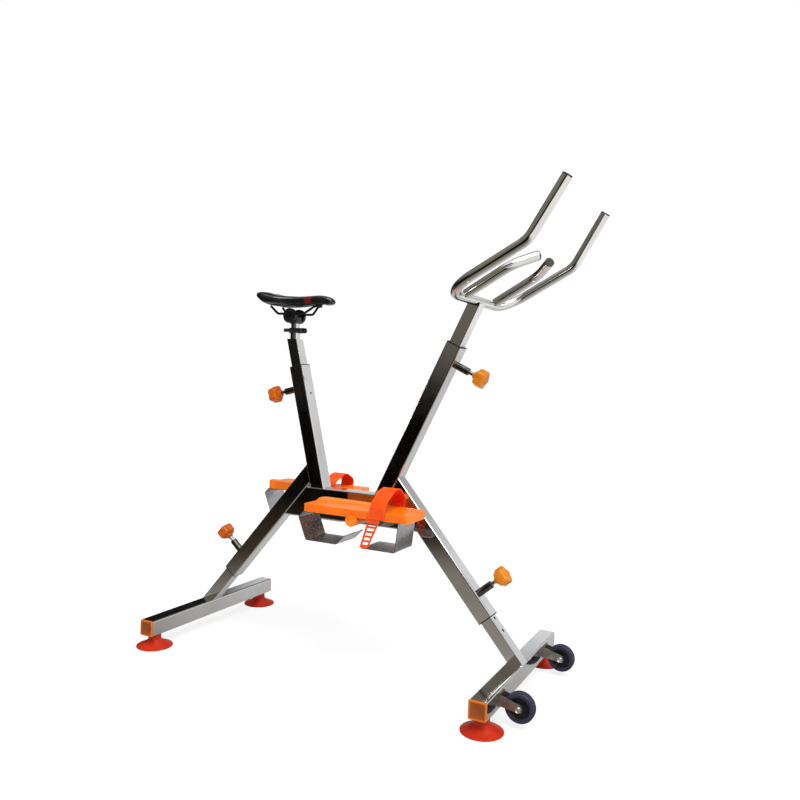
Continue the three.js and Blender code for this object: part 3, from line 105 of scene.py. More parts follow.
class Looks:
    """A node material built up from noise, colour, roughness and bump layers."""

    def __init__(self, name):
        self.material = bpy.data.materials.new(name)
        self.material.use_nodes = True
        self.tree = self.material.node_tree
        self.shader = self.tree.nodes["Principled BSDF"]
        self.place = self.node("ShaderNodeTexCoord").outputs["Object"]
        self.normal = None

    def node(self, kind, **values):
        made = self.tree.nodes.new(kind)
        for key, value in values.items():
            setattr(made, key, value)
        return made

    def join(self, start, end):
        self.tree.links.new(start, end)

    def set(self, **values):
        for key, value in values.items():
            self.shader.inputs[key.replace("_", " ")].default_value = value

    def noise(self, scale, detail, stretch=None):
        made = self.node("ShaderNodeTexNoise")
        made.inputs["Scale"].default_value = scale
        made.inputs["Detail"].default_value = detail
        source = self.place
        if stretch:
            mapping = self.node("ShaderNodeMapping")
            mapping.inputs["Scale"].default_value = stretch
            self.join(source, mapping.inputs["Vector"])
            source = mapping.outputs["Vector"]
        self.join(source, made.inputs["Vector"])
        return made.outputs["Fac"]

    def cells(self, scale):
        made = self.node("ShaderNodeTexVoronoi")
        made.inputs["Scale"].default_value = scale
        self.join(self.place, made.inputs["Vector"])
        return made.outputs["Distance"]

    def ramp(self, factor, low, high, start=0.35, end=0.65):
        made = self.node("ShaderNodeMapRange")
        made.inputs["From Min"].default_value = start
        made.inputs["From Max"].default_value = end
        made.inputs["To Min"].default_value = low
        made.inputs["To Max"].default_value = high
        self.join(factor, made.inputs["Value"])
        return made.outputs["Result"]

    def colours(self, factor, low, high):
        made = self.node("ShaderNodeValToRGB")
        for element, position, colour in zip(made.color_ramp.elements, (0.35, 0.65), (low, high)):
            element.position = position
            element.color = (*colour, 1)
        self.join(factor, made.inputs["Fac"])
        return made.outputs["Color"]

    def mix(self, factor, first, second):
        return mix_colours(self.tree, factor, first, second)

    def combine(self, first, second, kind="ADD"):
        made = self.node("ShaderNodeMath", operation=kind)
        feed(self.tree, made.inputs[0], first)
        feed(self.tree, made.inputs[1], second)
        return made.outputs["Value"]

    def edges(self, start, end):
        made = self.node("ShaderNodeNewGeometry")
        return self.ramp(made.outputs["Pointiness"], 0, 1, start, end)

    def colour(self, output):
        self.join(output, self.shader.inputs["Base Color"])

    def rough(self, output):
        self.join(output, self.shader.inputs["Roughness"])

    def bump(self, height, strength, distance):
        made = self.node("ShaderNodeBump")
        made.inputs["Strength"].default_value = strength
        made.inputs["Distance"].default_value = distance
        self.join(height, made.inputs["Height"])
        if self.normal:
            self.join(self.normal, made.inputs["Normal"])
        self.normal = made.outputs["Normal"]
        self.join(self.normal, self.shader.inputs["Normal"])


# Materials
def polished_stainless():
    looks = Looks("polished_stainless")
    looks.set(Metallic=1.0)
    looks.colour(looks.colours(looks.noise(9, 4), (0.70, 0.70, 0.69), (0.79, 0.785, 0.775)))
    smear = looks.noise(18, 4)
    scratches = looks.noise(60, 3, (1, 1, 14))
    looks.rough(looks.combine(looks.ramp(smear, 0.045, 0.10), looks.ramp(scratches, -0.01, 0.02)))
    looks.bump(looks.noise(14, 1), 0.09, 0.0012)
    looks.bump(scratches, 0.02, 0.00005)
    return looks.material


def steel(name, dark, light, low, high):
    looks = Looks(name)
    looks.set(Metallic=1.0)
    looks.colour(looks.colours(looks.noise(60, 4), dark, light))
    looks.rough(looks.ramp(looks.noise(30, 4, (1, 1, 6)), low, high))
    looks.bump(looks.noise(18, 2), 0.08, 0.0006)
    return looks.material


def black_steel():
    looks = Looks("black_steel")
    looks.set(Metallic=0.65)
    base = looks.colours(looks.noise(70, 4), (0.006, 0.006, 0.007), (0.016, 0.016, 0.017))
    looks.colour(looks.mix(looks.edges(0.56, 0.68), base, (0.08, 0.08, 0.08)))
    looks.rough(looks.ramp(looks.noise(90, 4), 0.24, 0.36))
    looks.bump(looks.noise(120, 2), 0.05, 0.0002)
    return looks.material


def moulded(name, dark, light, low, high, worn_and_lit_edge=None, coat=0.0, grain=420, depth=0.06):
    looks = Looks(name)
    base = looks.colours(looks.noise(24, 4), dark, light)
    # Sharp edges lighten towards the edge colour: wear, and a painted highlight on the edges
    if worn_and_lit_edge:
        base = looks.mix(looks.combine(looks.edges(0.54, 0.68), 0.4, "MULTIPLY"), base, worn_and_lit_edge)
    looks.colour(base)
    looks.rough(looks.ramp(looks.noise(90, 5), low, high))
    looks.bump(looks.noise(40, 3), 0.10, 0.0006)
    looks.bump(looks.cells(grain), depth, 0.00015)
    looks.set(Coat_Weight=coat, Coat_Roughness=0.12, IOR=1.49, Specular_IOR_Level=0.2)
    return looks.material


def saddle_skin():
    looks = Looks("saddle_cover")
    base = looks.colours(looks.noise(30, 4), (0.003, 0.003, 0.003), (0.007, 0.007, 0.007))
    # Lighter grey at sharp edges: wear, and a painted highlight on the rim
    worn_and_lit_edge = looks.combine(looks.edges(0.56, 0.66), 0.3, "MULTIPLY")
    looks.colour(looks.mix(worn_and_lit_edge, base, (0.03, 0.03, 0.03)))
    looks.rough(looks.ramp(looks.noise(60, 5), 0.16, 0.26))
    looks.bump(looks.noise(35, 2), 0.05, 0.0008)
    looks.bump(looks.cells(420), 0.035, 0.0002)
    looks.set(Coat_Weight=0.2, Coat_Roughness=0.1, IOR=1.46)
    return looks.material


# Dark and light colour, lowest and highest roughness
steels = {
    "dark_steel": ((0.20, 0.19, 0.18), (0.34, 0.33, 0.31), 0.22, 0.36),
    "fork_steel": ((0.26, 0.235, 0.21), (0.40, 0.37, 0.34), 0.3, 0.44),
    "bright_steel": ((0.62, 0.62, 0.61), (0.75, 0.75, 0.74), 0.16, 0.28),
    "sheet_steel": ((0.42, 0.42, 0.43), (0.50, 0.50, 0.51), 0.22, 0.30),
    # A dark steel for the polished lock-pin barrels: painted shade and dark reflection
    "barrel_shade_steel": ((0.055, 0.05, 0.047), (0.11, 0.10, 0.095), 0.24, 0.38),
}
# The same, then the colour of the edges, partly wear and partly painted highlight, the coat, and the scale
# and depth of the grain
plastics = {
    "black_plastic": ((0.005, 0.005, 0.005), (0.012, 0.012, 0.012), 0.38, 0.5, (0.04, 0.04, 0.04)),
    "orange_plastic": ((0.69, 0.112, 0.0), (0.79, 0.140, 0.0), 0.34, 0.46, (0.95, 0.36, 0.015), 0.1),
    # The cap finishes are darker copies of the orange plastic: painted shade on the caps, and deeper painted
    # shade on their sunk face
    "cap_shaded_plastic": ((0.42, 0.088, 0.003), (0.49, 0.106, 0.004), 0.4, 0.52, (0.75, 0.21, 0.012), 0.05),
    "cap_shaded_centre": ((0.20, 0.042, 0.003), (0.245, 0.053, 0.004), 0.42, 0.54),
    "amber_plastic": ((0.45, 0.115, 0.0), (0.55, 0.175, 0.0), 0.26, 0.38, (0.92, 0.46, 0.03), 0.15,
                      300, 0.015),
    # A darker copy of the amber plastic: painted shade on the knobs that face away from the light
    "shaded_amber_plastic": ((0.36, 0.060, 0.0), (0.45, 0.090, 0.0), 0.28, 0.4, (0.70, 0.26, 0.015), 0.12,
                           300, 0.015),
    "red_rubber": ((0.33, 0.012, 0.0), (0.40, 0.018, 0.0), 0.4, 0.54, (0.52, 0.055, 0.0)),
    "strap_rubber": ((0.67, 0.056, 0.0), (0.75, 0.074, 0.0), 0.42, 0.56, (0.90, 0.17, 0.0)),
    "strap_lining": ((0.70, 0.022, 0.0), (0.78, 0.032, 0.0), 0.42, 0.56),
    "wheel_tyre": ((0.014, 0.014, 0.030), (0.024, 0.024, 0.047), 0.42, 0.6, (0.07, 0.07, 0.11)),
    "wheel_core": ((0.003, 0.003, 0.004), (0.007, 0.007, 0.008), 0.34, 0.5, (0.03, 0.03, 0.03)),
    "saddle_accent": ((0.085, 0.003, 0.003), (0.13, 0.005, 0.004), 0.24, 0.36, None, 0.2),
}
materials = {
    "polished_stainless": polished_stainless(),
    "black_steel": black_steel(),
    "saddle_cover": saddle_skin(),
    **{name: steel(name, *values) for name, values in steels.items()},
    **{name: moulded(name, *values) for name, values in plastics.items()},
}

# CAD nodes keep their solids, with smooth shading between their sharp edges
for part in frame["record"]["subparts"]:
    mesh = frame["nodes"][part["node"]].data
    mesh.shade_smooth()
    mesh.set_sharp_from_angle(angle=math.radians(32))
    mesh.materials.clear()
    finish = "fork_steel" if "fork" in part["node"] else part["material_slot"]
    mesh.materials.append(materials[finish])


# Mesh tools: every outline and path is in millimetres
def piece(name, points, faces, body, slot, finish=None, replaces=(), angle=38):
    mesh = bpy.data.meshes.new(name)
    mesh.from_pydata([place(*p) for p in points], [], faces)
    mesh.validate()
    mesh.materials.append(materials[finish or slot])
    mesh.shade_smooth()
    mesh.set_sharp_from_angle(angle=math.radians(angle))
    made = bpy.data.objects.new(name, mesh)
    scene.collection.objects.link(made)
    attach(made, body)
    if replaces:
        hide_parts(*replaces)
    return made


def bevel(made, width):
    modifier = made.modifiers.new("rounded", "BEVEL")
    modifier.width = width * MM
    modifier.segments = 2
    modifier.limit_method = "ANGLE"
    modifier.angle_limit = math.radians(40)
    modifier.harden_normals = True


def loft(rings, closed=False, capped=True):
    """Faces between rings of points with equal counts; the ends are capped by one face each, or joined up."""
    points = [p for ring in rings for p in ring]
    count, faces = len(rings[0]), []
    for i in range(len(rings) if closed else len(rings) - 1):
        j = ((i + 1) % len(rings)) * count
        for k in range(count):
            after = (k + 1) % count
            faces.append((i * count + k, i * count + after, j + after, j + k))
    if capped and not closed:
        faces.append(tuple(range(count))[::-1])
        faces.append(tuple(range((len(rings) - 1) * count, len(rings) * count)))
    return points, faces


def bent(corners, radii, steps):
    """Line through corner points with a round bend at each inner corner."""
    corners = [Vector(c) for c in corners]
    line = [corners[0]]
    for before, here, after, radius in zip(corners, corners[1:], corners[2:], radii):
        into, away = (here - before).normalized(), (after - here).normalized()
        turn = into.angle(away)
        reach = radius * math.tan(turn / 2)
        start = here - into * reach
        side = (away - into * into.dot(away)).normalized()
        centre = start + side * radius
        for i in range(steps + 1):
            angle = turn * i / steps
            line.append(centre + (into * math.sin(angle) - side * math.cos(angle)) * radius)
    line.append(corners[-1])
    return line


def headings(line):
    """Direction of the line at each of its points."""
    made = []
    for i, point in enumerate(line):
        before, after = line[max(i - 1, 0)], line[min(i + 1, len(line) - 1)]
        made.append(((point - before).normalized() + (after - point).normalized()).normalized())
    return made


def sweep(line, outline):
    """Rings that carry a flat outline along a line, kept from twisting."""
    rings = []
    side = None
    for point, heading in zip(line, headings(line)):
        if side is None:
            side = Vector((0, 0, 1)).cross(heading)
            if side.length < 0.1:
                side = Vector((0, 1, 0)).cross(heading)
        side = (side - heading * side.dot(heading)).normalized()
        over = heading.cross(side)
        rings.append([point + side * u + over * v for u, v in outline])
    return rings


def circle(radius, sides):
    turns = [math.tau * k / sides for k in range(sides)]
    return [(radius * math.cos(turn), radius * math.sin(turn)) for turn in turns]


def pipe(line, radius, wall, sides=28):
    """Open pipe with a wall and softened ends, as one closed skin."""
    outer = sweep(line, circle(radius, sides))
    inner = sweep(line, circle(radius - wall, sides))
    heads = headings(line)
    soft = wall * 0.3
    first = [p + heads[0] * soft for p in outer[0]]
    last = [p - heads[-1] * soft for p in outer[-1]]
    lips = sweep(line, circle(radius - soft, sides))
    return loft([lips[0], first] + outer[1:-1] + [last, lips[-1]] + inner[::-1], closed=True)


def turned(profile, centre, axis, sides):
    """Turned form: profile of (radius, height) pairs round an axis."""
    axis = Vector(axis).normalized()
    first = Vector((0, 1, 0)) if abs(axis.y) < 0.9 else Vector((1, 0, 0))
    first = (first - axis * first.dot(axis)).normalized()
    second = axis.cross(first)
    centre = Vector(centre)
    return [[centre + axis * height + first * u + second * v for u, v in circle(radius, sides)]
            for radius, height in profile]


def smooth_profile(points, steps):
    """Rounds a profile with a spline through its points."""
    made = []
    for i in range(len(points) - 1):
        p0, p1 = points[max(i - 1, 0)], points[i]
        p2, p3 = points[i + 1], points[min(i + 2, len(points) - 1)]
        for k in range(steps):
            t = k / steps
            made.append(tuple(
                0.5 * (2 * b + (c - a) * t + (2 * a - 5 * b + 4 * c - d) * t * t
                       + (3 * b - a - 3 * c + d) * t ** 3)
                for a, b, c, d in zip(p0, p1, p2, p3)))
    made.append(points[-1])
    return made


def rounded_rectangle(width, depth, radius, steps=6):
    made = []
    for cx, cy, start in ((1, 1, 0), (-1, 1, 90), (-1, -1, 180), (1, -1, 270)):
        for k in range(steps + 1):
            angle = math.radians(start + 90 * k / steps)
            made.append((cx * (width / 2 - radius) + radius * math.cos(angle),
                         cy * (depth / 2 - radius) + radius * math.sin(angle)))
    return made


class Lean:
    """Frame of a leaning tube: along is up the tube, out is square to it in the XZ plane."""

    def __init__(self, x, z, degrees, side):
        angle = math.radians(degrees)
        self.origin = Vector((x, 0, z))
        self.along = Vector((side * math.cos(angle), 0, math.sin(angle)))
        self.out = Vector((math.sin(angle), 0, -side * math.cos(angle)))

    def at(self, out, y, along):
        return self.origin + self.out * out + self.along * along + Vector((0, y, 0))


# The leaning tubes: the legs rise from the cross tubes at the ends, the other two from the beam
base_half, foot_top, beam_top = 508, 82, 475
rear_leg = Lean(-base_half, foot_top, 49.5, 1)
front_leg = Lean(base_half, foot_top, 49.5, -1)
seat_line = Lean(-107.5, beam_top, 76, -1)
bar_line = Lean(109, beam_top, 64.5, 1)
ends = (("rear", -base_half), ("front", base_half))
hands = (("right", -1), ("left", 1))

# Saddle: padded cover with a rear notch, a middle channel and a turned-under skirt. The four lists give its
# sections from the back to the nose: share of the length, then width, top and floor as shares of the largest
saddle_x, saddle_z = -219.64, 1005.5
shares = [0, 0.015, 0.056, 0.116, 0.18, 0.257, 0.354, 0.466, 0.586, 0.705, 0.817, 0.907, 0.97, 1]
widths = [0.24, 0.4, 0.6, 0.8, 0.93, 1, 0.93, 0.68, 0.47, 0.34, 0.295, 0.27, 0.2, 0.08]
tops = [0.78, 0.84, 0.89, 0.905, 0.87, 0.77, 0.65, 0.61, 0.59, 0.615, 0.645, 0.585, 0.44, 0.3]
floors = [0.66, 0.6, 0.49, 0.34, 0.14, 0.03, 0.02, 0, 0.01, 0.06, 0.08, 0.04, 0.08, 0.16]
saddle_reach, saddle_length, saddle_half, saddle_crown = 124.3, 264, 73, 48
saddle_points = 64
side_share, squareness = 0.45, 0.62
channel_end, channel_half, channel_depth, notch_depth = 0.4, 16, 9, 22
base_start, base_start_run, base_end, base_end_run = 0.116, 0.064, 0.907, 0.09
base_width, base_edge, base_recess = 0.74, 0.08, 4.8
band_start, band_end, band_floor = 0.68, 0.73, 0.15


def limited(value):
    return min(1.0, max(0.0, value))


def saddle_ring(share, width, top, floor):
    """Section of the saddle, notched and channelled above, and recessed below where the base sits."""
    x = saddle_x - saddle_reach + share * saddle_length
    half, top_z, floor_z = width * saddle_half, saddle_z + top * saddle_crown, saddle_z + floor * saddle_crown
    side_z = floor_z + (top_z - floor_z) * side_share
    fade = max(0.0, 1 - share / channel_end)
    over_base = limited((share - base_start) / base_start_run) * limited((base_end - share) / base_end_run)
    ring = []
    for k in range(saddle_points):
        angle = math.tau * (k + 0.5) / saddle_points
        across = math.copysign(abs(math.cos(angle)) ** squareness, math.cos(angle))
        height = math.copysign(abs(math.sin(angle)) ** squareness, math.sin(angle))
        y = half * across
        dip = fade * max(0.0, 1 - (y / channel_half) ** 2)
        crown = top_z - side_z - dip * channel_depth
        z = side_z + (crown if height > 0 else side_z - floor_z) * height
        if height < 0:
            recessed = over_base * limited((base_width - abs(across)) / base_edge)
            z += max(0.0, floor_z + base_recess - z) * recessed
        ring.append(Vector((x + notch_depth * dip * fade, y, z)))
    return ring


saddle_rows = list(zip(shares, widths, tops, floors))
saddle_rings = [saddle_ring(*row) for row in smooth_profile(saddle_rows, steps=3)]
points, faces = loft(saddle_rings, capped=False)
for start, flip in ((0, False), ((len(saddle_rings) - 1) * saddle_points, True)):
    for k in range(saddle_points // 2 - 1):
        a, b = start + k, start + k + 1
        c, d = start + saddle_points - 2 - k, start + saddle_points - 1 - k
        faces.append((a, b, c, d) if flip else (d, c, b, a))
saddle = piece("saddle_pad", points, faces, "saddle", "saddle_cover", replaces=("saddle_cover",), angle=80)
saddle.data.materials.append(materials["saddle_accent"])
for polygon in saddle.data.polygons:
    share = ((polygon.center.x - middle_x) / MM - saddle_x + saddle_reach) / saddle_length
    if band_start < share < band_end and polygon.center.z / MM > saddle_z + band_floor * saddle_crown:
        polygon.material_index = 1

# Saddle rails: one wire that runs forward on the right, round the nose and back on the left
rail_gap, rail_radius, rail_low, rail_bend, nose_bend = 0.3, 3.5, 983, 14, 8
rail_seat = saddle_z - rail_gap - rail_radius
rail_half = [(-66, 30, rail_seat + 4.08), (-44, 23, rail_low), (50, 23, rail_low),
             (78, 9.5, rail_seat + 3.36), (92, 9.5, rail_seat + 3.36)]
rail_path = [(saddle_x + x, y, z) for x, y, z in rail_half]
rail_path += [(x, -y, z) for x, y, z in reversed(rail_path)]
half_bends = [rail_bend, rail_bend, rail_bend, nose_bend]
rail_line = bent(rail_path, half_bends + half_bends[::-1], steps=8)
piece("saddle_rail_wire", *loft(sweep(rail_line, circle(rail_radius, sides=20))), "saddle", "black_steel",
      replaces=("saddle_rails",))

# Handlebar and the two grip bars
bar_x, bar_z = 364.65, 1011.0
bar_radius, bar_wall, bar_steps = 12.5, 1.5, 14
low_angle, high_angle, grip_angle, inward_angle = (math.radians(a) for a in (29.5, 59.5, 30.5, 45))
low_run, high_run, bar_half, tip_half = 227, 160, 207, 200
grip_y, grip_start, grip_run, inward_run, grip_bend = 106, 11, 148, 74.5, 70
bar_bends = [70, 74, 74, 70]
elbow = (bar_x + low_run * math.cos(low_angle), bar_z + low_run * math.sin(low_angle))
tip = (elbow[0] + high_run * math.cos(high_angle), elbow[1] + high_run * math.sin(high_angle))
bar_path = [(tip[0], -tip_half, tip[1]), (elbow[0], -bar_half, elbow[1]), (bar_x, -bar_half, bar_z),
            (bar_x, bar_half, bar_z), (elbow[0], bar_half, elbow[1]), (tip[0], tip_half, tip[1])]
piece("handlebar_pipe", *pipe(bent(bar_path, bar_bends, bar_steps), bar_radius, bar_wall),
      "steering_mast", "polished_stainless", replaces=("handlebar",))
for hand, side in hands:
    run = Vector((math.cos(grip_angle), 0, math.sin(grip_angle)))
    inward = Vector((0, -side * math.sin(inward_angle), 0)) + run * math.cos(inward_angle)
    start = Vector((bar_x, side * grip_y, bar_z))
    corner = start + run * grip_run
    grip_line = bent([start + run * grip_start, corner, corner + inward * inward_run], [grip_bend], bar_steps)
    piece(f"{hand}_grip_pipe", *pipe(grip_line, bar_radius, bar_wall), "steering_mast", "polished_stainless",
          replaces=(f"{hand}_grip_bar",))

# Suction cups: a shallow dish with a rolled lip, a stepped neck and a hollow underside
cup_y, cup_radius = 243, 51
cup_under = [(0.02, 5.2), (18, 5.0), (34, 3.6), (41.8, 0.2), (42.5, 0), (50, 0)]
cup_top = [(51, 0.6), (51, 2.6), (49.6, 3.6), (46, 4.6), (38, 7.6), (31, 11.4), (25, 15.2), (20.5, 18.2),
           (18.4, 21.5), (18, 24)]
cup_neck = [(18, 36.6), (0.02, 36.6)]
cup_profile = cup_under + [(min(r, cup_radius), h) for r, h in smooth_profile(cup_top, steps=4)] + cup_neck
for end, x in ends:
    for hand, side in hands:
        rings = turned(cup_profile, (x, side * cup_y, 0), (0, 0, 1), sides=72)
        piece(f"{end}_{hand}_suction_cup", *loft(rings), f"{end}_base", "red_rubber",
              replaces=(f"{end}_{hand}_cup",), angle=45)

# End caps: rounded edge and a shallow sunk face. A row is the size, the corners' radius and how far out it is
cap_y, cap_z = 274.3, 59.5
cap_rows = ((40.4, 2, -14), (40.4, 2, 0), (45, 4, 0), (45, 4, 2.2), (44.2, 3.8, 3.3), (42.6, 3.6, 4),
            (37, 3, 4), (35.4, 2.6, 3.3))
for end, x in ends:
    for hand, side in hands:
        rings = []
        for size, radius, out in cap_rows:
            outline = rounded_rectangle(size, size, radius)
            rings.append([Vector((x + u, side * (cap_y + out), cap_z + v)) for u, v in outline])
        points, faces = loft(rings)
        if side > 0:
            faces = [face[::-1] for face in faces]
        cap = piece(f"{end}_{hand}_end_cap", points, faces, f"{end}_base", "orange_plastic",
                    finish="cap_shaded_plastic", replaces=(f"{end}_{hand}_cap",), angle=40)
        # The sunk face gets the deeper painted shade
        cap.data.materials.append(materials["cap_shaded_centre"])
        cap.data.polygons[-1].material_index = 1

# Caster wheels: a polyurethane tread on a moulded core, and the axle's heads outside the fork
fork_start, axle_forward = 22.8, 46.5
wheel_x, wheel_y, wheel_z = base_half + fork_start + axle_forward, 180, 48
wheel_half, hub_overhang, wheel_gap, fork_sheet, head_thickness = 12, 1, 0.6, 3, 4
head_face = wheel_half + hub_overhang + wheel_gap + fork_sheet + head_thickness
tyre = [(25, 10.5), (28, 11.6), (31.4, 12), (33.8, 11.2), (35.3, 9.2), (36, 6.5), (36, 1.6), (35.4, 0.9)]
core = [(4.3, 13), (11, 13), (12, 12.2), (12.4, 8.4), (14, 8), (22.4, 8), (23.6, 9.4), (25, 10.5)]
head = [(0.02, 0.9), (2.6, 0.9), (3.0, 0.2), (4.6, 0.2), (5.2, 0.9), (6.6, 0.5), (7.4, -0.6), (7.5, -3.6),
        (7.1, -3.9), (0.02, -3.9)]
for hand, side in hands:
    centre = (wheel_x, side * wheel_y, wheel_z)
    for name, half, finish, angle in (("tread", tyre, "wheel_tyre", 50), ("core", core, "wheel_core", 40)):
        profile = half + [(r, -h) for r, h in reversed(half)]
        piece(f"{hand}_wheel_{name}", *loft(turned(profile, centre, (0, 1, 0), sides=64), closed=True),
              f"{hand}_wheel", "wheel_tyre", finish=finish, replaces=(f"{hand}_caster_wheel",), angle=angle)
    for face in (-1, 1):
        rings = turned([(r, head_face + h) for r, h in head], centre, (0, face, 0), sides=40)
        name = "inner" if face * side < 0 else "outer"
        piece(f"{hand}_axle_{name}_head", *loft(rings), "front_base", "dark_steel", finish="bright_steel",
              angle=35)

# Lock pins: the tube's line, the side of it, and the height along it
sleeve_half, barrel_length, neck_length, grip_length = 22.5, 42, 32, 16
barrel_rise, barrel_reach = 0.5, 10.5
rear_mouth, front_mouth, seat_mouth, bar_mouth = 134, 129, 362.5, 465
lock_pins = {
    "rear_leg": (rear_leg, -1, rear_mouth + 64),
    "front_leg": (front_leg, 1, front_mouth + 64),
    "seat": (seat_line, -1, seat_mouth - 63),
    "handlebar": (bar_line, 1, bar_mouth - 48),
}
# Outline of a knob from its neck over two rounded edges to its hub: height, radius and share of the lobes
quarter = [math.radians(90 * k / 6) for k in range(7)]
knob_start, knob_thickness, knob_edge, knob_flat = 9, 28, 6, 17.5
knob_profile = [(-6, 9 - 0.8, 0.0), (-5.2, 9, 0.0), (2, 9.6, 0.0), (8.4, 11.5, 0.1)]
knob_profile += [(knob_start + knob_edge - knob_edge * math.cos(a), knob_flat + knob_edge * math.sin(a), 1.0)
                 for a in quarter]
knob_profile += [(knob_start + (knob_thickness - knob_edge) + knob_edge * math.sin(a),
                  knob_flat + knob_edge * math.cos(a), 1.0) for a in quarter]
knob_profile += [(36.4, 14, 0.7), (35.8, 11.5, 0.2), (35.2, 9.6, 0.0), (35.2, 8.8, 0), (36.2, 8.2, 0),
                 (36.6, 7, 0), (36.8, 4, 0), (36.9, 0.05, 0)]
knob_points, lobe_count, lobe_height, knob_floor = 80, 5, 2.0, 0.1


def knob(pin, line, direction, along):
    """Five soft lobes on a short neck; those that face back get a darker amber, painted shade."""
    axis = line.out * direction
    centre = line.at(direction * (sleeve_half + barrel_length + neck_length - grip_length), 0, along)
    first = Vector((0, 1, 0))
    second = axis.cross(first)
    rings = []
    for height, radius, lobes in knob_profile:
        ring = []
        for k in range(knob_points):
            angle = math.tau * k / knob_points
            r = radius + lobe_height * lobes * math.cos(lobe_count * angle)
            sideways = first * (r * math.cos(angle)) + second * (r * math.sin(angle))
            ring.append(centre + axis * max(height, knob_floor) + sideways)
        rings.append(ring)
    # Knobs that face back get the painted-shade amber
    finish = "shaded_amber_plastic" if direction < 0 else "amber_plastic"
    piece(f"{pin}_knob_grip", *loft(rings), f"{pin}_knob", "amber_plastic", finish=finish,
          replaces=(f"{pin}_lock_knob",), angle=42)


def darken_barrel(pin, line, direction, along):
    """Gives the faces of a sleeve that stand out round its lock pin a darker steel, a painted dark reflection
    on the polished barrel.
    """
    sleeve = frame["nodes"][f"{pin}_sleeve"]
    foot = place(*line.at(direction * sleeve_half, 0, along))
    axis = line.out * direction
    sleeve.data.materials.append(materials["barrel_shade_steel"])
    for polygon in sleeve.data.polygons:
        offset = sleeve.matrix_world @ polygon.center - foot
        rise = offset.dot(axis)
        if rise > barrel_rise * MM and (offset - axis * rise).length < barrel_reach * MM:
            polygon.material_index = 1


for pin, (line, direction, along) in lock_pins.items():
    knob(pin, line, direction, along)
    darken_barrel(pin, line, direction, along)

# Small plug in the front of the seat sleeve
plug = [(0.02, 0.6), (2.2, 0.55), (3.0, 0.35), (3.4, 0.05), (0.02, 0.05)]
plug_centre = seat_line.at(sleeve_half, 0, seat_mouth - 85)
piece("seat_sleeve_plug", *loft(turned(plug, plug_centre, seat_line.out, sides=24)), "frame", "black_plastic",
      angle=50)

# Paddles: bent sheet with rounded folds, measured from the pedal's axle
crank_x, crank_z, crank_length = -48, 430, 160
pedal_start, pedal_width, paddle_inset = 81, 107, 5
sheet_thickness, fold_radius = 2, 4
paddles = {
    "rear": [(-19.5, 6.7), (-154, 6.7), (-169, -9), (-144, -69), (-49, -69), (-22, -43)],
    "front": [(19.5, 6.7), (133, 6.7), (125, -69), (28, -69)],
}


def sheet(corners, y0, y1):
    line = bent([(x, 0, z) for x, z in corners], [fold_radius] * (len(corners) - 2), steps=6)
    half = sheet_thickness / 2
    rings = []
    for point, heading in zip(line, headings(line)):
        over = Vector((-heading.z, 0, heading.x))
        edges = ((y0, -half), (y1, -half), (y1, half), (y0, half))
        rings.append([Vector((0, y, 0)) + point + over * v for y, v in edges])
    return loft(rings)


for hand, side in hands:
    axle_x = crank_x - side * crank_length
    reach = sorted((side * (pedal_start + paddle_inset), side * (pedal_start + pedal_width - paddle_inset)))
    for label, corners in paddles.items():
        points, faces = sheet([(axle_x + x, crank_z + z) for x, z in corners], *reach)
        paddle = piece(f"{hand}_{label}_paddle_sheet", points, faces, f"{hand}_platform",
                       "polished_stainless", finish="sheet_steel", replaces=(f"{hand}_{label}_paddle",),
                       angle=30)
        bevel(paddle, 0.4)

# Foot straps: a moulded band over the foot, a slotted tail and its buckle
strap_start, strap_width, strap_thickness, strap_gap = 50, 45, 3, 0.3
strap_end, strap_side, shoulder_inset, shoulder_share, strap_lean = 12, 40, 6, 0.33, 0.16
strap_bends = [10, 20, 40, 20, 10]
crowns = {"right": 95, "left": 74}
# An edge of the band's section is on its inner side if its two ends, taken together, are further in than this
inner_limit = -2.6
tail_top, tail_start, tail_length, window_count, window_half = 18, 8, 74, 5, 3.67
neck_width, tail_shift, tail_taper, window_margin = 34, 23, 33, 4.5
tail_faces = (107.3, 110.1)
buckle_rows = ((107.3, -0.5), (107.8, 0), (111.8, 0), (112.4, -0.6))
buckle_width, buckle_height, buckle_x, buckle_z = 44, 9, 68, 15.5


def strap_band(over, crown):
    """Points and faces of the band, and which of the faces are on its inner side."""
    off = strap_gap + strap_thickness / 2
    shoulder = strap_side + (crown - strap_side) * shoulder_share
    arch = [(-off, strap_end), (-off, strap_side), (-off + shoulder_inset, shoulder),
            (pedal_width / 2, crown), (pedal_width + off - shoulder_inset, shoulder),
            (pedal_width + off, strap_side), (pedal_width + off, strap_end)]
    line = bent([(w, 0, z) for w, z in arch], strap_bends, steps=9)
    section = rounded_rectangle(strap_thickness, strap_width, radius=1.2, steps=3)
    rings = []
    for point, heading in zip(line, headings(line)):
        across = Vector((-heading.z, 0, heading.x))
        ring = []
        for u, v in section:
            w, z = point.x + across.x * u, point.z + across.z * u
            ring.append(over(w, strap_start + strap_width / 2 + v + strap_lean * (z - strap_end), z))
        rings.append(ring)
    count = len(section)
    inner = [k for k in range(count) if section[k][0] + section[(k + 1) % count][0] < inner_limit]
    return *loft(rings), [i * count + k for i in range(len(rings) - 1) for k in inner]


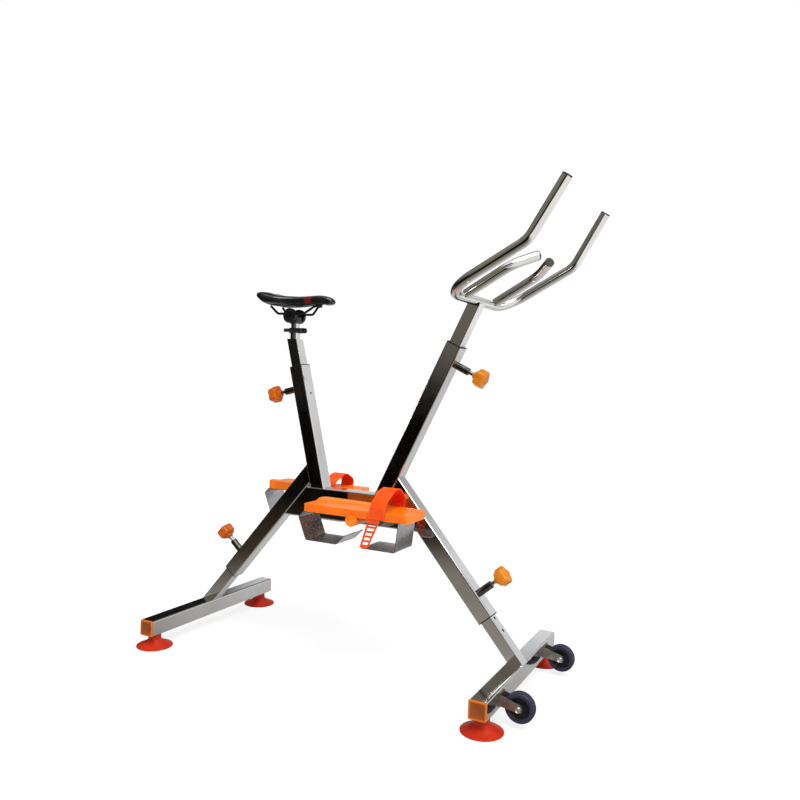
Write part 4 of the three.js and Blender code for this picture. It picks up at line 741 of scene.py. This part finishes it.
def strap_tail(over):
    """Points and faces of the tail, a flat strip with a row of windows."""
    rows = [(z, strap_start, strap_start + neck_width) for z in (tail_top, tail_start)]
    for i in range(1, window_count + 1):
        middle = tail_start - tail_length * (i / (window_count + 1))
        for z in (middle + window_half, middle - window_half):
            t = (tail_start - z) / tail_length
            rows.append((z, strap_start - tail_shift * t, strap_start + neck_width - tail_taper * t))
    rows.append((tail_start - tail_length, strap_start - tail_shift, strap_start + neck_width - tail_taper))
    points, faces = [], []
    for w in tail_faces:
        for z, left, right in rows:
            points += [over(w, x, z) for x in (left, left + window_margin, right - window_margin, right)]
    back = len(rows) * 4
    for r in range(len(rows) - 1):
        for c in range(3):
            a = r * 4 + c
            if r >= 2 and r % 2 == 0 and c == 1:
                for p, q in ((a, a + 1), (a + 1, a + 5), (a + 5, a + 4), (a + 4, a)):
                    faces.append((p, q, q + back, p + back))
                continue
            faces.append((a, a + 4, a + 5, a + 1))
            faces.append((a + back, a + 1 + back, a + 5 + back, a + 4 + back))
    for r in range(len(rows) - 1):
        left, right = r * 4, r * 4 + 3
        faces.append((left, left + back, left + 4 + back, left + 4))
        faces.append((right, right + 4, right + 4 + back, right + back))
    for top in range(3):
        bottom = (len(rows) - 1) * 4 + top
        faces.append((top, top + 1, top + 1 + back, top + back))
        faces.append((bottom, bottom + back, bottom + 1 + back, bottom + 1))
    return points, faces


for hand, side in hands:
    def over(w, x, z):
        return Vector((crank_x - side * crank_length + x, side * (pedal_start + w), crank_z + z))

    platform, strap_node = f"{hand}_platform", f"{hand}_foot_strap"
    points, faces, inner = strap_band(over, crowns[hand])
    band = piece(f"{hand}_strap_band", points, faces, platform, "strap_rubber", replaces=(strap_node,),
                 angle=40)
    band.data.materials.append(materials["strap_lining"])
    for index in inner:
        band.data.polygons[index].material_index = 1
    tail = piece(f"{hand}_strap_tail", *strap_tail(over), platform, "strap_rubber", replaces=(strap_node,),
                 angle=35)
    bevel(tail, 0.6)
    rings = []
    for w, grow in buckle_rows:
        stretch, rise = 1 + grow / (buckle_width / 2), 1 + grow / (buckle_height / 2)
        rings.append([over(w, buckle_x + x * stretch, buckle_z + z * rise)
                      for x, z in rounded_rectangle(buckle_width, buckle_height, radius=3, steps=3)])
    piece(f"{hand}_strap_loop", *loft(rings), platform, "strap_rubber", angle=40)


# Studio: a pale floor and white surroundings. Only polished surfaces mirror the glowing floor, and the dark
# room with its paper backdrop
def shade_steps(tree, value, steps, interpolation="EASE"):
    """Colour ramp over a value from -1 to 1."""
    scaled = tree.nodes.new("ShaderNodeMapRange")
    scaled.inputs["From Min"].default_value = -1
    scaled.inputs["From Max"].default_value = 1
    tree.links.new(value, scaled.inputs["Value"])
    ramp = tree.nodes.new("ShaderNodeValToRGB")
    ramp.color_ramp.interpolation = interpolation
    while len(ramp.color_ramp.elements) < len(steps):
        ramp.color_ramp.elements.new(0.5)
    for element, (position, colour) in zip(ramp.color_ramp.elements, steps):
        element.position = (position + 1) / 2
        element.color = (*colour, 1)
    tree.links.new(scaled.outputs["Result"], ramp.inputs["Fac"])
    return ramp.outputs["Color"]


def part_along(tree, vector, direction):
    dot = tree.nodes.new("ShaderNodeVectorMath")
    dot.operation = "DOT_PRODUCT"
    dot.inputs[1].default_value = direction
    tree.links.new(vector, dot.inputs[0])
    return dot.outputs["Value"]


def towards(tree, vector, direction, start, end, low=(0, 0, 0)):
    """Colour that rises to white as the vector points more in a direction."""
    return shade_steps(tree, part_along(tree, vector, direction), [(start, low), (end, (1, 1, 1))])


def ground(name, height, paint):
    far = 14
    corners = [(-far, -far, height), (far, -far, height), (far, far, height), (-far, far, height)]
    mesh = bpy.data.meshes.new(name)
    mesh.from_pydata(corners, [], [(0, 1, 2, 3)])
    material = bpy.data.materials.new(name)
    material.use_nodes = True
    paint(material.node_tree)
    mesh.materials.append(material)
    made = bpy.data.objects.new(name, mesh)
    scene.collection.objects.link(made)
    made.visible_shadow = False
    return made


floor_clearness = 0.78


def pale_paint(tree):
    """Matt pale floor that the camera mostly sees through, for a foot that slides out below it."""
    shader = tree.nodes["Principled BSDF"]
    shader.inputs["Base Color"].default_value = (0.82, 0.82, 0.82, 1)
    shader.inputs["Roughness"].default_value = 0.9
    shader.inputs["Specular IOR Level"].default_value = 0.1
    seen_through = tree.nodes.new("ShaderNodeMath")
    seen_through.operation = "MULTIPLY"
    seen_through.inputs[1].default_value = floor_clearness
    clear = tree.nodes.new("ShaderNodeBsdfTransparent")
    mix = tree.nodes.new("ShaderNodeMixShader")
    tree.links.new(tree.nodes.new("ShaderNodeLightPath").outputs["Is Camera Ray"], seen_through.inputs[0])
    tree.links.new(seen_through.outputs["Value"], mix.inputs["Fac"])
    tree.links.new(shader.outputs["BSDF"], mix.inputs[1])
    tree.links.new(clear.outputs["BSDF"], mix.inputs[2])
    tree.links.new(mix.outputs["Shader"], tree.nodes["Material Output"].inputs["Surface"])


def glowing_paint(tree):
    """Glow that darkens towards the near side and the left, and whitens towards the right."""
    tree.nodes.clear()
    output = tree.nodes.new("ShaderNodeOutputMaterial")
    glow = tree.nodes.new("ShaderNodeEmission")
    scaled = tree.nodes.new("ShaderNodeVectorMath")
    scaled.operation = "SCALE"
    scaled.inputs["Scale"].default_value = 0.25
    tree.links.new(tree.nodes.new("ShaderNodeTexCoord").outputs["Object"], scaled.inputs[0])
    spot = scaled.outputs["Vector"]
    near_to_far = shade_steps(tree, part_along(tree, spot, (0, 1, 0)), [
        (-0.55, (0.010, 0.009, 0.008)), (-0.34, (0.20, 0.185, 0.155)), (-0.09, (0.30, 0.28, 0.25)),
        (0.0, (0.44, 0.43, 0.42)), (0.12, (0.62, 0.62, 0.62)), (0.6, (0.64, 0.64, 0.65))], "LINEAR")
    leftwards = towards(tree, spot, (1, 0.6, 0), -0.42, -0.16, (0.16, 0.13, 0.10))
    rightwards = towards(tree, spot, (1, 0.1, 0), 0.30, 0.50)
    shaded = mix_colours(tree, 1.0, near_to_far, leftwards, "MULTIPLY")
    tree.links.new(mix_colours(tree, rightwards, shaded, (0.98, 0.97, 0.95)), glow.inputs["Color"])
    tree.links.new(glow.outputs["Emission"], output.inputs["Surface"])


ground("floor", 0, pale_paint)
mirrored_floor = ground("mirrored_floor", 0.0004, glowing_paint)
mirrored_floor.visible_camera = False
mirrored_floor.visible_diffuse = False
mirrored_floor.visible_transmission = False

world = bpy.data.worlds.new("studio")
scene.world = world
world.use_nodes = True
tree = world.node_tree
tree.nodes.clear()
direction = tree.nodes.new("ShaderNodeTexCoord").outputs["Generated"]
height = part_along(tree, direction, (0, 0, 1))
black, ceiling = (0.010, 0.010, 0.009), (1.1, 1.1, 1.1)

# The dark room, brown-grey higher up, with faint blotches and a plain patch behind the camera
near_room = shade_steps(tree, height, [
    (-0.2, (0.012, 0.011, 0.010)), (0.10, black), (0.30, (0.17, 0.155, 0.125)), (0.7, (0.22, 0.21, 0.18)),
    (0.88, ceiling)])
far_room = shade_steps(tree, height, [(0.4, black), (0.7, (0.16, 0.15, 0.13)), (0.88, ceiling)])
dark_room = mix_colours(tree, towards(tree, direction, (0, 1, 0), -0.1, 0.2), near_room, far_room)
noise = tree.nodes.new("ShaderNodeTexNoise")
noise.inputs["Scale"].default_value = 7
noise.inputs["Detail"].default_value = 3
tree.links.new(direction, noise.inputs["Vector"])
blotches = tree.nodes.new("ShaderNodeValToRGB")
none, most = blotches.color_ramp.elements
none.position, none.color = 0.56, (0, 0, 0, 1)
most.position, most.color = 0.72, (0.045, 0.05, 0.045, 1)
tree.links.new(noise.outputs["Fac"], blotches.inputs["Fac"])
dark_room = mix_colours(tree, 1.0, dark_room, blotches.outputs["Color"], "ADD")
behind_camera = towards(tree, direction, (-0.35, -0.925, 0.145), 0.988, 0.994)
dark_room = mix_colours(tree, behind_camera, dark_room, (0.155, 0.145, 0.12))

# The paper backdrop on the far side, a dark corner high in it, and a white wall at the right
backdrop = shade_steps(tree, height, [
    (-0.2, (0.60, 0.60, 0.61)), (0.10, (0.68, 0.68, 0.69)), (0.32, (0.82, 0.82, 0.85)),
    (0.40, (0.50, 0.50, 0.50)), (0.50, (0.22, 0.21, 0.19)), (0.80, (0.20, 0.19, 0.16)), (0.9, ceiling)])
mirrored = mix_colours(tree, towards(tree, direction, (0.19, 0.98, 0), 0.58, 0.66), dark_room, backdrop)
dark_corner = towards(tree, direction, (-0.35, 0.70, 0.62), 0.93, 0.955)
mirrored = mix_colours(tree, dark_corner, mirrored, (0.012, 0.016, 0.013))
at_right = towards(tree, direction, (0.95, -0.2, 0.25), 0.66, 0.80)
mirrored = mix_colours(tree, at_right, mirrored, (0.98, 0.97, 0.96))

rays = tree.nodes.new("ShaderNodeLightPath")
plain = mix_colours(tree, rays.outputs["Is Camera Ray"], (0.72, 0.72, 0.73), (1, 1, 1))
background = tree.nodes.new("ShaderNodeBackground")
output = tree.nodes.new("ShaderNodeOutputWorld")
tree.links.new(mix_colours(tree, rays.outputs["Is Glossy Ray"], plain, mirrored), background.inputs["Color"])
tree.links.new(background.outputs["Background"], output.inputs["Surface"])

key_light = bpy.data.lights.new("key_light", "SUN")
key_light.angle = math.radians(50)
key_light.energy = 3.6
lamp = bpy.data.objects.new("key_light", key_light)
lamp.rotation_euler = (-Vector((0.45, -0.35, 1.0))).to_track_quat("-Z", "Y").to_euler()
scene.collection.objects.link(lamp)
